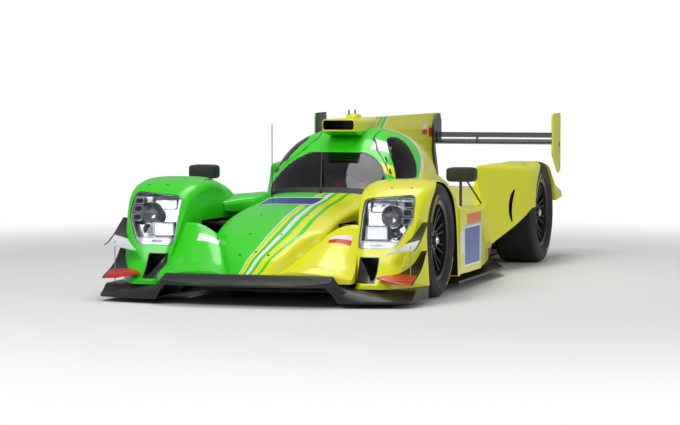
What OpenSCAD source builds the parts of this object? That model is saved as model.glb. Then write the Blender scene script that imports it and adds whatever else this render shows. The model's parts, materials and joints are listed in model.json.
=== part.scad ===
// Closed sports prototype race car: nose and tall front fenders, teardrop cockpit with two
// hinged doors, long rear fenders, shark fin and rear wing. Millimetres, +Z up.
// The car faces -Y and its left side is +X. Its origin is on the ground, under its middle.

/* [Overall] */
// Distance between the front and rear axles
wheelbase = 3005; // [2960:5:3050]
// Front axle to the splitter's leading edge
front_overhang = 1000; // [985:5:1015]
// Rear axle to the trailing edge of the wing's end plates
rear_overhang = 740; // [725:5:755]
// Width over the body sides
body_w = 1895; // [1885:5:1905]
// Height of the fin and of the wing's end plates. The roof follows it
fin_z = 1045; // [1035:5:1055]

/* [Wheels] */
// Outer radius of a front tyre
front_tyre_r = 340; // [334:1:342]
// Width of a front tyre
front_tyre_w = 300; // [290:2:304]
// Outer radius of a rear tyre
rear_tyre_r = 350; // [344:1:352]
// Width of a rear tyre
rear_tyre_w = 310; // [300:2:314]
// Body side to the outer face of a tyre
tyre_inset = 12; // [8:1:16]
// Radius of the rim's outer flange
rim_r = 236; // [230:1:240]
// Number of spokes in a rim
spokes = 10; // [7:1:12]
// Gap between a tyre and the wheel well above it
well_gap = 10; // [8:1:14]

/* [Body shell] */
// Thickness of the body panels round the cabin and the engine
shell_t = 22; // [16:1:26]
// Thickness of the glass
glass_t = 7; // [5:1:9]
// Gap round a door
door_gap = 6; // [5:0.5:8]
// Thickness of the flat floor panels
floor_t = 16; // [10:1:20]
// Ground clearance under the flat floor
floor_z = 45; // [40:1:55]

/* [Wing] */
// Chord of the wing's main plane
wing_chord = 175; // [165:5:185]
// Thickness of an end plate
end_plate_t = 12; // [8:1:16]
// Thickness of the shark fin
fin_t = 14; // [8:1:20]

/* [Hidden] */
$fn = 48;

overall = front_overhang + wheelbase + rear_overhang;
front_y = -overall / 2;
fa = front_y + front_overhang;
ra = fa + wheelbase;
tail_y = overall / 2;
half_w = body_w / 2;

front_x = half_w - tyre_inset - front_tyre_w / 2;
rear_x = half_w - tyre_inset - rear_tyre_w / 2;

// Fits between pieces
seat_gap = 0.3;
run_gap = 0.05;

// FROM THE DRAWN CAR TO THE CHOSEN SIZE
// The tables below give places on a car drawn with a wheelbase of 3005, a width of 1895 and a
// fin height of 1045. A place along the car is given as d, the distance behind the front axle.
near_axle = 420;
far_axle = 2445;
drawn_base = 3005;
function car_y(d) =
    d <= near_axle ? fa + d :
    d >= far_axle ? ra + d - drawn_base :
    fa + near_axle + (d - near_axle)
        * (wheelbase - near_axle - drawn_base + far_axle) / (far_axle - near_axle);
function car_x(x) = x * half_w / 947.5;
belt_z = 500;
function car_z(z) = z < belt_z ? z : belt_z + (z - belt_z) * (fin_z - belt_z) / (1045 - belt_z);
// The outline of a plate seen from the side, from drawn [d, z]
function in_side_view(t) = [for (p = t) [car_y(p[0]), car_z(p[1])]];
// The outline of a plate seen from the front, from drawn [x, z]
function in_front_view(t) = [for (p = t) [car_x(p[0]), car_z(p[1])]];
function place(x, d, z) = [car_x(x), car_y(d), car_z(z)];

// SMOOTH TABLES
// A table's rows run along the car. Column 0 is d, and every other column is read at any d
// by a cubic that never overshoots its rows.
function rise(t, i, c) = (t[i + 1][c] - t[i][c]) / (t[i + 1][0] - t[i][0]);
function slope(t, i, c) =
    i == 0 ? rise(t, 0, c) :
    i == len(t) - 1 ? rise(t, i - 1, c) :
    let (a = rise(t, i - 1, c), b = rise(t, i, c)) a * b <= 0 ? 0 : 2 * a * b / (a + b);
function row_at(t, d, i = 0) = i >= len(t) - 2 || d < t[i + 1][0] ? i : row_at(t, d, i + 1);
function at(t, d, c) =
    let (i = row_at(t, d), h = t[i + 1][0] - t[i][0], s = (d - t[i][0]) / h)
    t[i][c] * (1 + 2 * s) * (1 - s) * (1 - s) + t[i + 1][c] * s * s * (3 - 2 * s)
    + slope(t, i, c) * h * s * (1 - s) * (1 - s) + slope(t, i + 1, c) * h * s * s * (s - 1);
function straight_at(t, d, c) = let (i = row_at(t, d)) t[i][c] + rise(t, i, c) * (d - t[i][0]);
function row(t, d) = [for (c = [0:len(t[0]) - 1]) c == 0 ? d : at(t, d, c)];
function stations(t, n) = [
    for (i = [0:len(t) - 2]) for (k = [0:n - 1]) t[i][0] + (t[i + 1][0] - t[i][0]) * k / n,
    t[len(t) - 1][0]
];
function lifted(t, up) = [for (r = t)
    [for (c = [0:len(r) - 1]) (c == 7 || c == 8) && r[c] > 250 ? r[c] + up : r[c]]];

// SECTIONS
// A section goes along the bottom from xib to xob, up to the outer shoulder xo at zs, over
// the crown at xc and zt by rounded arcs, and down to the inner shoulder xi. The exponents
// no and ni are 2 for an ellipse, and more for a squarer arc.
arc_steps = 5;
function arc_point(xc, xs, zs, zt, n, a) =
    [xc + (xs - xc) * pow(cos(a), 2 / n), zs + (zt - zs) * pow(sin(a), 2 / n)];
// Columns of r: d, xib, xob, xi, xo, xc, zb, zs, zt, ni, no
function section(r) = concat(
    [[r[1], r[6]], [r[2], r[6]]],
    [for (k = [0:arc_steps]) arc_point(r[5], r[4], r[7], r[8], r[10], 90 * k / arc_steps)],
    [for (k = [arc_steps - 1:-1:0]) arc_point(r[5], r[3], r[7], r[8], r[9], 90 * k / arc_steps)]
);
// A skin over rings of points [x, z], one ring for each place in ds
module skin(ds, rings) {
    m = len(rings[0]);
    last = len(rings) - 1;
    polyhedron(
        points = [for (i = [0:last]) for (p = rings[i]) place(p[0], ds[i], p[1])],
        faces = concat(
            [[for (j = [m - 1:-1:0]) j]],
            [[for (j = [0:m - 1]) last * m + j]],
            [for (i = [0:last - 1]) for (j = [0:m - 1]) let (a = i * m + j, b = i * m + (j + 1) % m)
                each [[a, b + m, a + m], [a, b, b + m]]]
        )
    );
}
module loft(t, steps = 2) {
    ds = stations(t, steps);
    skin(ds, [for (d = ds) section(row(t, d))]);
}
// Rows of a body that is alike on both sides. Columns: d, half width at the bottom, half
// width at the shoulder, bottom, shoulder, top, n
function both(t) = [for (r = t) [r[0], -r[1], r[1], -r[2], r[2], 0, r[3], r[4], r[5], r[6], r[6]]];
// Rows of a body whose crown is midway. Columns: d, xib, xob, xi, xo, zb, zs, zt, n
function evenly(t) = [for (r = t)
    [r[0], r[1], r[2], r[3], r[4], (r[3] + r[4]) / 2, r[5], r[6], r[7], r[8], r[8]]];
// The same body, thinner by w on every side but its ends
function inset(t, w) = [for (r = t) [
    r[0], r[1] + w, r[2] - w, r[3] + w, r[4] - w, r[5], r[6] - sign(w) * 40, r[7], r[8] - w, r[9], r[10]
]];
// One mesh for a shell made by cutting lofts with each other
module one_mesh() { resize([0, 0, 0]) children(); }
module on_right() { mirror([1, 0, 0]) children(); }
module both_sides() { children(); mirror([1, 0, 0]) children(); }
// A plate whose outline is drawn in side view as [y, z], from x0 to x1
module side_plate(x0, x1) {
    translate([x0, 0, 0]) rotate([90, 0, 90]) linear_extrude(x1 - x0) children();
}
// A plate whose outline is drawn in front view as [x, z], from y0 to y1
module front_plate(y0, y1) {
    translate([0, y1, 0]) rotate([90, 0, 0]) linear_extrude(y1 - y0) children();
}
module bar(a, b, r) {
    v = b - a;
    h = norm(v);
    translate(a) rotate([0, acos(v[2] / h), atan2(v[1], v[0])]) cylinder(h = h, r = r, $fn = 12);
}

// BODY FORMS
green = [0.16, 0.85, 0.05];
yellow = [0.9, 0.95, 0.02];
carbon = [0.05, 0.05, 0.055];

// Columns: d, half width at the foot, half width at the ridge, foot, ridge, crown, n
nose_rows = [
    [-863, 84, 80, 136, 143, 151, 2.2],
    [-846, 108, 104, 124, 152, 173, 2.5],
    [-818, 138, 128, 110, 170, 202, 3],
    [-778, 178, 148, 110, 206, 250, 4.5],
    [-677, 231, 197, 110, 272, 318, 5],
    [-572, 330, 243, 120, 328, 378, 4.5],
    [-507, 350, 278, 220, 346, 402, 3.8],
    [-422, 356, 338, 300, 372, 428, 3],
    [-300, 352, 346, 320, 405, 462, 3.2],
    [-218, 350, 346, 330, 425, 482, 3.5],
    [72, 352, 350, 340, 465, 524, 3.8],
    [362, 350, 346, 350, 495, 552, 3.8],
    [513, 346, 342, 360, 515, 574, 3.8],
    [640, 344, 340, 360, 530, 588, 3.8]
];
// The ramp between the nose and a front fender rises from its front lip to a crest.
// Columns: d, inner x, outer x, underside, inner top, outer top, bulge between them
ramp_rows = [
    [-863, 96, 245, 132, 140, 196, 10],
    [-852, 98, 308, 130, 146, 196, 16],
    [-827, 105, 470, 130, 152, 174, 44],
    [-777, 128, 590, 130, 172, 153, 62],
    [-727, 150, 590, 130, 194, 178, 55],
    [-650, 200, 580, 130, 238, 215, 50],
    [-577, 225, 566, 130, 272, 262, 50],
    [-507, 255, 558, 130, 308, 335, 42],
    [-457, 285, 552, 130, 334, 408, 34],
    [-424, 300, 548, 130, 350, 446, 34],
    [-412, 300, 548, 130, 346, 440, 34]
];
// The shoulder that bridges the channel between the nose and the fender, up to the cockpit
shoulder_rows = evenly([
    [120, 476, 560, 476, 560, 490, 520, 545, 3],
    [220, 420, 560, 410, 560, 480, 535, 562, 3],
    [330, 330, 560, 330, 560, 470, 545, 574, 3],
    [400, 320, 560, 320, 560, 470, 548, 582, 3],
    [520, 320, 480, 320, 480, 470, 540, 586, 3],
    [640, 320, 430, 320, 430, 470, 530, 588, 3]
]);
fender_foot = 98;
// Columns: d, xib, xob, xi, xo, xc, zb, zs, zt, ni, no
fender_rows = lifted([
    [-725, 620, 745, 640, 735, 690, fender_foot, 110, 122, 2.5, 2.5],
    [-690, 585, 790, 600, 780, 690, fender_foot, 118, 150, 3, 3],
    [-640, 572, 830, 580, 822, 700, fender_foot, 130, 200, 3, 3],
    [-590, 566, 862, 570, 850, 705, fender_foot, 200, 285, 3.5, 3.5],
    [-540, 562, 888, 564, 872, 710, fender_foot, 300, 380, 4, 4],
    [-480, 558, 910, 558, 892, 715, fender_foot, 400, 485, 4, 4],
    [-420, 552, 926, 552, 905, 725, fender_foot, 480, 580, 4, 4],
    [-350, 545, 944, 545, 918, 730, fender_foot, 540, 640, 4, 4],
    [-220, 530, 947.5, 530, 932, 730, fender_foot, 590, 682, 4, 4],
    [-60, 516, 947.5, 516, 940, 730, fender_foot, 600, 703, 4, 4],
    [60, 500, 947.5, 500, 942, 720, fender_foot, 600, 703, 3.2, 4],
    [200, 484, 947.5, 484, 942, 690, fender_foot, 540, 688, 2.6, 4],
    [300, 476, 947.5, 476, 940, 660, fender_foot, 500, 664, 2.5, 4],
    [380, 474, 947.5, 474, 936, 650, fender_foot, 470, 634, 2.5, 4],
    [400, 474, 947.5, 474, 936, 650, fender_foot, 465, 600, 2.5, 3]
], front_tyre_r - 340);
sidepod_rows = evenly([
    [401, 450, 947.5, 450, 947.5, 108, 470, 545, 3.5],
    [530, 450, 947.5, 450, 947.5, 106, 464, 538, 3.5],
    [580, 450, 947.5, 450, 947.5, 105, 440, 508, 5],
    [945, 450, 947.5, 450, 947.5, 105, 440, 503, 5],
    [1060, 450, 930, 450, 936, 108, 438, 501, 5],
    [1320, 450, 895, 450, 898, 112, 430, 499, 4],
    [1560, 450, 858, 450, 842, 122, 420, 497, 4],
    [1822, 450, 822, 450, 796, 180, 410, 494, 4]
]);
// Columns: d, xib, xob, xi, xo, xc, zb, zs, zt, ni, no
rear_fender_rows = lifted([
    [1824, 700, 812, 702, 717, 709, 194, 640, 698, 2.5, 2.5],
    [1846, 696, 813, 698, 728, 712, 198, 650, 716, 2.5, 2.5],
    [1900, 688, 816, 690, 748, 722, 204, 650, 719, 2.5, 2.5],
    [2000, 668, 824, 672, 778, 738, 222, 650, 721, 2.5, 2.5],
    [2150, 640, 842, 642, 820, 758, 252, 650, 722, 2.5, 2.5],
    [2300, 612, 872, 612, 866, 775, 292, 640, 721, 2.6, 2.6],
    [2450, 600, 912, 600, 905, 785, 352, 625, 717, 2.8, 2.8],
    [2570, 598, 942, 598, 932, 790, 405, 600, 710, 3, 3],
    [2680, 598, 947.5, 596, 940, 790, 410, 590, 706, 3.4, 3.4],
    [2825, 598, 947.5, 594, 942, 790, 410, 610, 711, 4, 4],
    [3005, 598, 947.5, 594, 944, 790, 410, 630, 713, 4, 4],
    [3165, 598, 947.5, 594, 942, 790, 410, 600, 700, 4, 4],
    [3335, 598, 947.5, 596, 938, 790, 420, 510, 640, 3, 3],
    [3485, 598, 944, 598, 935, 780, 430, 460, 558, 3, 3],
    [3625, 598, 942, 600, 935, 770, 440, 455, 512, 3, 3]
], rear_tyre_r - 350);
// Cabin and engine cover. Columns: d, half width at the foot, at the shoulder, foot,
// shoulder, top, n
cabin_n = 2.6;
cabin_rows = [
    [617, 290, 296, 520, 572, 583, cabin_n],
    [650, 325, 332, 515, 573, 606, cabin_n],
    [722, 368, 370, 508, 578, 655, cabin_n],
    [783, 398, 400, 508, 586, 697, cabin_n],
    [865, 428, 430, 508, 596, 754, cabin_n],
    [962, 446, 447, 508, 600, 816, cabin_n],
    [1073, 458, 458, 508, 600, 882, cabin_n],
    [1173, 468, 468, 508, 600, 930, cabin_n],
    [1273, 474, 474, 508, 600, 962, cabin_n],
    [1373, 474, 474, 508, 600, 976, cabin_n],
    [1500, 466, 466, 508, 600, 979, 2.5],
    [1680, 446, 446, 508, 600, 976, 2.4]
];
cabin_end = 1680;
cover_rows = [
    [cabin_end, 446, 446, 485, 600, 976, 2.4],
    [2005, 404, 398, 495, 590, 918, 2.3],
    [2355, 330, 322, 505, 560, 816, 2.2],
    [2705, 262, 250, 512, 540, 720, 2],
    [3105, 190, 176, 515, 535, 640, 2],
    [3565, 122, 110, 460, 480, 565, 2]
];
rear_deck_rows = [
    [cabin_end, 700, 700, 474, 484, 493, 4],
    [1822, 716, 716, 478, 488, 498, 4],
    [2000, 690, 690, 484, 494, 504, 4],
    [2305, 622, 622, 494, 506, 516, 4],
    [3005, 594, 594, 508, 520, 530, 4],
    [3625, 597, 597, 448, 460, 470, 4]
];

// WELLS
kingpin_x = front_x - 95;
well_inner_x = half_w - 415;
// Towards the lip, the room for the steered wheel gets shorter. Columns: x where it ends, reach
well_steps = [[half_w - 66, 45], [half_w - 54, 30], [half_w - 44, 12]];
front_well_r = front_tyre_r + well_gap;
rear_well_r = rear_tyre_r + well_gap;
module disc_x(x0, x1, r, sides = 48) {
    translate([x0, 0, 0]) rotate([0, 90, 0]) cylinder(h = x1 - x0, r = r, $fn = sides);
}
// The room that a steered front wheel needs: a longer chamber inside, a round lip outside
module front_well() {
    translate([0, fa, front_tyre_r]) {
        well_room(half_w + 40, 0, 48);
        for (step = well_steps) well_room(step[0], step[1], 32);
        translate([well_inner_x - 90, -230, -190]) cube([110, 460, 190 + arm_top + 40]);
    }
}
// A room as round as a polygon of so many sides that lies outside the well's circle
module well_room(end_x, reach, sides) {
    depth = end_x - well_inner_x;
    for (s = [-reach, reach]) translate([0, s, 0])
        disc_x(well_inner_x, end_x, front_well_r / cos(180 / sides), sides);
    translate([well_inner_x, -reach, 0]) cube([depth, 2 * reach, front_well_r]);
    translate([well_inner_x, -front_well_r - reach, -front_tyre_r])
        cube([depth, 2 * (front_well_r + reach), front_tyre_r]);
}
module rear_well() {
    inner_x = half_w - 336;
    translate([0, ra, rear_tyre_r]) {
        disc_x(inner_x, half_w + 40, rear_well_r);
        translate([inner_x, -rear_well_r, -rear_tyre_r]) cube([half_w, 2 * rear_well_r, rear_tyre_r]);
        translate([inner_x - 72, -250, -200]) cube([100, 500, 380]);
    }
}

// FRONT BODYWORK
ramp_cuts = 6;
function ramp_section(r) = concat(
    [[r[1], r[3]], [r[2], r[3]]],
    [for (k = [ramp_cuts:-1:0]) let (s = k / ramp_cuts)
        [r[1] + (r[2] - r[1]) * s, r[4] + (r[5] - r[4]) * s + r[6] * 4 * s * (1 - s)]]
);
module ramp_form() {
    ds = stations(ramp_rows, 1);
    skin(ds, [for (d = ds) ramp_section(row(ramp_rows, d))]);
}
module fender_form() { loft(fender_rows, 1); }
module cabin_form(w = 0) { loft(inset(both(cabin_rows), w), 1); }
module tub_form(w = 0) { loft(inset(both(tub_rows), w), 1); }

module nose() {
    color(green) one_mesh() difference() {
        union() {
            loft(both(nose_rows), 1);
            both_sides() ramp_form();
            both_sides() loft(shoulder_rows, 1);
        }
        both_sides() fender_form();
        both_sides() front_well();
        tub_form();
        cabin_form();
        canopy_room();
        splitter_form();
        both_sides() for (z = [156, front_tyre_r + arm_top - 6])
            translate([200, fa - 190, z]) cube([300, 380, 34]);
        translate([-600, fa - 860, -10]) cube([1200, 1400, 10 + splitter_top]);
    }
}

// Lamp outline seen from the front, as [x, z]
lamp_outline = [
    [566, 318], [562, 594], [600, 608], [850, 628], [872, 606], [880, 488], [812, 352], [786, 322]
];
// The lamp room's back leans back, in front of the wheel's room
module lamp_room(grow, y0, back) {
    intersection() {
        front_plate(y0, fa) offset(r = grow) polygon(in_front_view(lamp_outline));
        side_plate(500, half_w) polygon([
            [y0, 200], [fa - 468 + back, 200], [fa - 340 + back, 660], [y0, 660]
        ]);
    }
}
duct_outline = [[592, 270], [706, 272], [702, 150], [686, 140]];
module front_fenders() { color(yellow) one_mesh() both_sides() front_fender(); }
module front_fender() {
    difference() {
        fender_form();
        front_well();
        lamp_room(0, fa - 700, 0);
        front_plate(fa - 760, fa - 470) polygon(in_front_view(duct_outline));
    }
}

// The lamp unit: a housing on the room's back, a square low lens, a round lens and three
// small boxes. Columns of the boxes: x, z, width, height, depth
lamp_boxes = [
    [600, 345, 120, 95, 52], [640, 520, 150, 60, 30], [806, 500, 50, 44, 46], [810, 550, 48, 40, 40],
    [800, 450, 48, 40, 52]
];
module headlamp() {
    difference() {
        lamp_room(-1, fa - 600, -1);
        lamp_room(20, fa - 620, -13);
    }
    intersection() {
        lamp_room(-1, fa - 600, -4);
        union() {
            for (b = lamp_boxes) translate([car_x(b[0]), fa - 440 + (b[1] - 330) * 0.28 - b[4], b[1]])
                cube([b[2], b[4] + 60, b[3]]);
            translate([car_x(742), fa - 400, 392]) rotate([90, 0, 0]) cylinder(h = 76, r = 42, $fn = 32);
        }
    }
}
module headlamps() {
    color("silver") one_mesh() both_sides() intersection() {
        headlamp();
        translate([0, 24, -6]) fender_form();
    }
}
module lamp_cover() {
    difference() {
        intersection() {
            fender_form();
            lamp_room(-1, fa - 700, -30);
        }
        translate([0, 9, -3]) fender_form();
    }
}
module lamp_covers() { color([0.8, 0.85, 0.9, 0.4]) one_mesh() both_sides() lamp_cover(); }

// TUB AND CABIN
floor_top = floor_z + floor_t;
splitter_top = 130;
tub_wall = 45;
tub_floor = floor_top + 50;
tub_rows = [
    [-330, 190, 190, floor_top, 380, 410, 4],
    [150, 250, 250, floor_top, 470, 500, 4],
    [340, 300, 300, floor_top, 480, 505, 4],
    [620, 400, 400, floor_top, 485, 506, 4],
    [800, 440, 440, floor_top, 485, 506, 4],
    [cabin_end, 440, 440, floor_top, 485, 506, 4]
];
module canopy_room() { translate([-440, car_y(614), 500]) cube([880, 60, 200]); }
// The room for the driver: open upwards into the cabin
module cockpit() {
    intersection() {
        tub_form(tub_wall);
        translate([-500, car_y(200), tub_floor]) cube([1000, car_y(1440) - car_y(200), 380]);
    }
    intersection() {
        translate([0, 0, 60]) tub_form(tub_wall);
        translate([-500, car_y(620), 400]) cube([1000, car_y(1440) - car_y(620), 300]);
    }
}
module monocoque() {
    color(carbon) one_mesh() difference() {
        tub_form();
        cockpit();
    }
}

// Outlines in side view, as drawn [d, z]
door_outline = [
    [812, 600], [892, 716], [1042, 838], [1172, 915], [1230, 945], [1290, 1000], [1425, 1000],
    [1432, 700], [1412, 520], [972, 520], [902, 540]
];
door_window = [
    [865, 660], [1114, 664], [1224, 828], [1250, 880], [1238, 906], [1200, 900], [1060, 800], [925, 716]
];
screen_outline = [
    [600, 560], [690, 577], [733, 592], [960, 796], [988, 812], [988, 1000], [600, 1000]
];
module shell() { difference() { cabin_form(); cabin_inside(shell_t); } }
module cabin_inside(w) {
    difference() {
        cabin_form(w);
        translate([-600, car_y(500), 400]) cube([1200, car_y(617) - car_y(500) + w, 700]);
        translate([-600, car_y(cabin_end) - w, 400]) cube([1200, 200, 700]);
    }
}
// The door's top ends at an upright cut along the roof
door_top_x = 190;
module door_cut(grow) {
    side_plate(door_top_x - grow, 700) offset(delta = grow) polygon(in_side_view(door_outline));
}
// The door swings on a line along the screen pillar, a little outside the skin
hinge_a = place(434, 777, 627);
hinge_b = place(280, 1037, 867);
function on_hinge(s) = hinge_a + (hinge_b - hinge_a) * s;
hinge_r = 6;
// Where each hinge's two barrels meet, as a share of the line, and the reach of the door's leaf
hinges = [[0.38, [-2, 32, -4]], [0.68, [8, 56, -6]]];
// A barrel from share a to share b of the line, with a leaf that reaches to the skin
module hinge_half(a, b, reach) {
    bar(on_hinge(a), on_hinge(b), hinge_r);
    hull() {
        bar(on_hinge(a), on_hinge(b), 3);
        translate(reach) bar(on_hinge(a), on_hinge(b), 4);
    }
}
module hinge_bracket() {
    for (h = hinges) hinge_half(h[0] - 0.06, h[0], [-34, -24, -30]);
}
module hinge_leaf() {
    for (h = hinges) hinge_half(h[0], h[0] + 0.04, h[1]);
}
module canopy() {
    color(green) one_mesh() {
        difference() {
            shell();
            side_plate(-700, 700) polygon(in_side_view(screen_outline));
            both_sides() door_cut(door_gap);
        }
        both_sides() difference() {
            hinge_bracket();
            cabin_inside(shell_t - 2);
            door_cut(door_gap - 1);
        }
    }
}
module windscreen() {
    color([0.5, 0.55, 0.6, 0.35]) one_mesh() intersection() {
        difference() { cabin_form(); cabin_inside(glass_t); }
        side_plate(-700, 700) offset(delta = -seat_gap) polygon(in_side_view(screen_outline));
    }
}
module door() {
    one_mesh() {
        difference() {
            intersection() { shell(); door_cut(0); }
            side_plate(100, 700) polygon(in_side_view(door_window));
        }
        difference() {
            hinge_leaf();
            cabin_inside(shell_t - 2);
        }
    }
}
module door_glass() {
    one_mesh() intersection() {
        difference() { cabin_form(); cabin_inside(glass_t); }
        side_plate(100, 700) offset(delta = -seat_gap) polygon(in_side_view(door_window));
    }
}

// Air intake on the roof with a camera pod on it. Columns as in the nose
intake_rows = [
    [990, 96, 112, 905, 1018, 1043, 4],
    [1200, 100, 116, 905, 1020, 1044, 4],
    [1450, 72, 96, 930, 1010, 1044, 3],
    [1750, 30, 50, 920, 1005, 1043, 3],
    [1850, 18, 26, 900, 995, 1041, 3]
];
pod_rows = [
    [1262, 20, 22, 1030, 1050, 1056, 3],
    [1310, 34, 38, 1030, 1056, 1071, 3],
    [1400, 30, 34, 1030, 1054, 1069, 3],
    [1500, 12, 16, 1030, 1040, 1047, 3]
];
module roof_intake() {
    color(yellow) one_mesh() difference() {
        union() {
            loft(both(intake_rows), 2);
            loft(both(pod_rows), 1);
        }
        cabin_form();
        loft(both(cover_rows), 2);
        front_plate(car_y(980), car_y(1230)) polygon(in_front_view([
            [-96, 986], [96, 986], [103, 1008], [103, 1026], [-103, 1026], [-103, 1008]
        ]));
    }
}

// REAR BODYWORK
module cover_form(w = 0) { loft(inset(both(cover_rows), w), 2); }
module engine_cover() {
    color(green) one_mesh() difference() {
        union() {
            cover_form();
            loft(both(rear_deck_rows), 1);
        }
        difference() {
            cover_form(shell_t);
            translate([-600, car_y(3505), 300]) cube([1200, 200, 700]);
        }
        both_sides() rear_fender_form();
        both_sides() loft(sidepod_rows, 1);
    }
}
wing_y = tail_y - wing_chord - 70;
wing_z = car_z(836);
wing_half = half_w - 57;
fin_outline = concat(
    in_side_view([[1700, 880], [1760, 1041]]),
    [[tail_y - 110, fin_z], [tail_y - 84, fin_z - 8], [tail_y - 84, wing_z + 86], [wing_y - 16, wing_z + 86],
     [wing_y - 30, wing_z - 20]],
    in_side_view([[3583, 560], [3560, 535], [2605, 535]])
);
module shark_fin() {
    color(yellow) one_mesh() difference() {
        side_plate(-fin_t / 2, fin_t / 2) polygon(fin_outline);
        cover_form();
        cabin_form();
        loft(both(rear_deck_rows), 1);
        loft(both(intake_rows), 2);
        loft(both(pod_rows), 1);
    }
}
module sidepods() {
    color(yellow) one_mesh() both_sides() difference() {
        loft(sidepod_rows, 1);
        tub_form(-1);
        loft(shoulder_rows, 1);
        cabin_form(-1);
    }
}
module rear_fender_form() { loft(rear_fender_rows, 1); }
module rear_fenders() { color(yellow) one_mesh() both_sides() rear_fender(); }
module rear_fender() {
    difference() {
        rear_fender_form();
        rear_well();
        loft(sidepod_rows, 1);
        crescent();
    }
}
// The slot on the outer flank, ahead of the rear wheel
module crescent() {
    side_plate(half_w - 130, half_w + 10) polygon(in_side_view([
        [2325, 548], [2285, 538], [2245, 500], [2218, 435], [2222, 375], [2252, 328], [2280, 316],
        [2268, 380], [2276, 440], [2300, 500]
    ]));
}
duct_rows = evenly([
    [cabin_end, 450, 800, 450, 800, floor_top, 250, 300, 4],
    [2005, 450, 760, 450, 740, floor_top, 260, 330, 4],
    [2365, 450, 660, 450, 640, floor_top, 300, 380, 4],
    [2605, 450, 600, 450, 596, floor_top, 340, 400, 4]
]);
module side_ducts() {
    color(carbon) one_mesh() both_sides() difference() {
        loft(duct_rows, 1);
        rear_fender_form();
        loft(sidepod_rows, 1);
    }
}

// FLOOR
// Columns: d, edge x, two knees x, underside at the edge, top at the edge, at the outer knee
// and in the middle
splitter_rows = [
    [-1000, 30, 8, 16, 118, 126, 127, 128],
    [-988, 300, 270, 285, 118, 127, 129, 132],
    [-940, 500, 470, 485, 118, 127, 132, 142],
    [-914, 560, 500, 552, 32, 44, 52, 148],
    [-905, 600, 505, 562, 28, 40, 60, 152],
    [-866, 762, 505, 580, 28, 40, 84, 180],
    [-852, 812, 505, 590, 28, 40, 90, 129],
    [-815, 925, 505, 600, 28, 40, 97, 129],
    [-760, 947.5, 505, 600, 28, 46, 97, 129],
    [-660, 947.5, 505, 600, 28, 97, 97, 129],
    [-380, 947.5, 505, 600, 28, 97, 97, 129]
];
function splitter_section(r) = [
    [-r[1], r[4]], [-r[3] + 4, r[4]], [-r[2], 117], [r[2], 117], [r[3] - 4, r[4]], [r[1], r[4]],
    [r[1], r[5]], [r[3], r[6]], [r[2], r[7]], [-r[2], r[7]], [-r[3], r[6]], [-r[1], r[5]]
];
module splitter_form() {
    skin([for (r = splitter_rows) r[0]], [for (r = splitter_rows) splitter_section(r)]);
}
module front_splitter() {
    color(carbon) one_mesh() difference() {
        splitter_form();
        both_sides() fender_form();
        both_sides() front_well();
        translate([-300, fa - 440, 100]) cube([600, 100, 100]);
    }
}
module underfloor() {
    side = half_w - 15;
    color(carbon) {
        translate([0, 0, floor_z]) linear_extrude(floor_t) polygon([
            [-500, car_y(-430)], [500, car_y(-430)], [500, car_y(430)],
            [side, car_y(430)], [side, car_y(1700)], [car_x(600), car_y(2615)],
            [car_x(600), car_y(3385)], [-car_x(600), car_y(3385)],
            [-car_x(600), car_y(2615)], [-side, car_y(1700)], [-side, car_y(430)], [-500, car_y(430)]
        ]);
        translate([-150, fa - 300, floor_z - 20]) cube([300, ra - fa, 20]);
    }
}
module diffuser() {
    w = car_x(600);
    color(carbon) {
        side_plate(-w, w) polygon([
            [ra + 380, floor_z + 40], [ra + 380, floor_z], [tail_y - 20, 250], [tail_y - 20, 262]
        ]);
        for (k = [0:5]) side_plate(-w + (2 * w - 12) * k / 5, -w + (2 * w - 12) * k / 5 + 12) polygon([
            [ra + 385, floor_z], [tail_y - 30, 110], [tail_y - 20, 250], [ra + 390, floor_z + 10]
        ]);
    }
}

// WING
function wing_profile(chord, thick, camber) = concat(
    [for (k = [0:10]) let (u = (1 - cos(18 * k)) / 2)
        [u * chord, -camber * 4 * u * (1 - u) + thick * 1.1 * sqrt(u) * (1 - u)]],
    [for (k = [9:-1:1]) let (u = (1 - cos(18 * k)) / 2)
        [u * chord, -camber * 4 * u * (1 - u) - thick * 1.1 * sqrt(u) * (1 - u)]]
);
module main_profile() { translate([wing_y, wing_z]) rotate(5) polygon(wing_profile(wing_chord, 30, 14)); }
module flap_profile() {
    translate([wing_y + wing_chord - 18, wing_z + 30]) rotate(22) polygon(wing_profile(88, 15, 6));
}
module rear_wing() {
    color(carbon) {
        side_plate(-wing_half, wing_half) main_profile();
        side_plate(-wing_half, wing_half) flap_profile();
        for (x = [-wing_half, -300, 290, wing_half - 10]) side_plate(x, x + 10) polygon([
            [wing_y + wing_chord - 60, wing_z + 8], [wing_y + wing_chord - 20, wing_z + 5],
            [wing_y + wing_chord + 10, wing_z + 46], [wing_y + wing_chord - 10, wing_z + 42]
        ]);
    }
}
module wing_end_plates() {
    y0 = tail_y - 282;
    color(yellow) both_sides() side_plate(wing_half + seat_gap, wing_half + end_plate_t) polygon([
        [y0, fin_z - 24], [y0 + 14, fin_z - 3], [tail_y, fin_z], [tail_y, car_z(650)],
        [tail_y - 26, car_z(612)], [tail_y - 74, car_z(608)], [y0, car_z(746)]
    ]);
}
// Two swan necks run from the fin over the wing and hold it from above
module wing_pylons() {
    color(carbon) one_mesh() both_sides() difference() {
        side_plate(fin_t / 2 + 0.1, 23) difference() {
            polygon([
                [wing_y - 70, wing_z + 120], [wing_y - 6, fin_z - 12], [wing_y + 120, fin_z - 4],
                [wing_y + 156, wing_z + 150], [wing_y + 160, wing_z + 4], [wing_y + 34, wing_z + 4],
                [wing_y + 22, wing_z + 60], [wing_y - 12, wing_z + 84], [wing_y - 24, wing_z - 30],
                [car_y(3575), car_z(575)], [car_y(3520), car_z(575)], [wing_y - 75, wing_z - 60]
            ]);
            main_profile();
            flap_profile();
        }
        loft(both(rear_deck_rows), 1);
        cover_form();
    }
}

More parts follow.
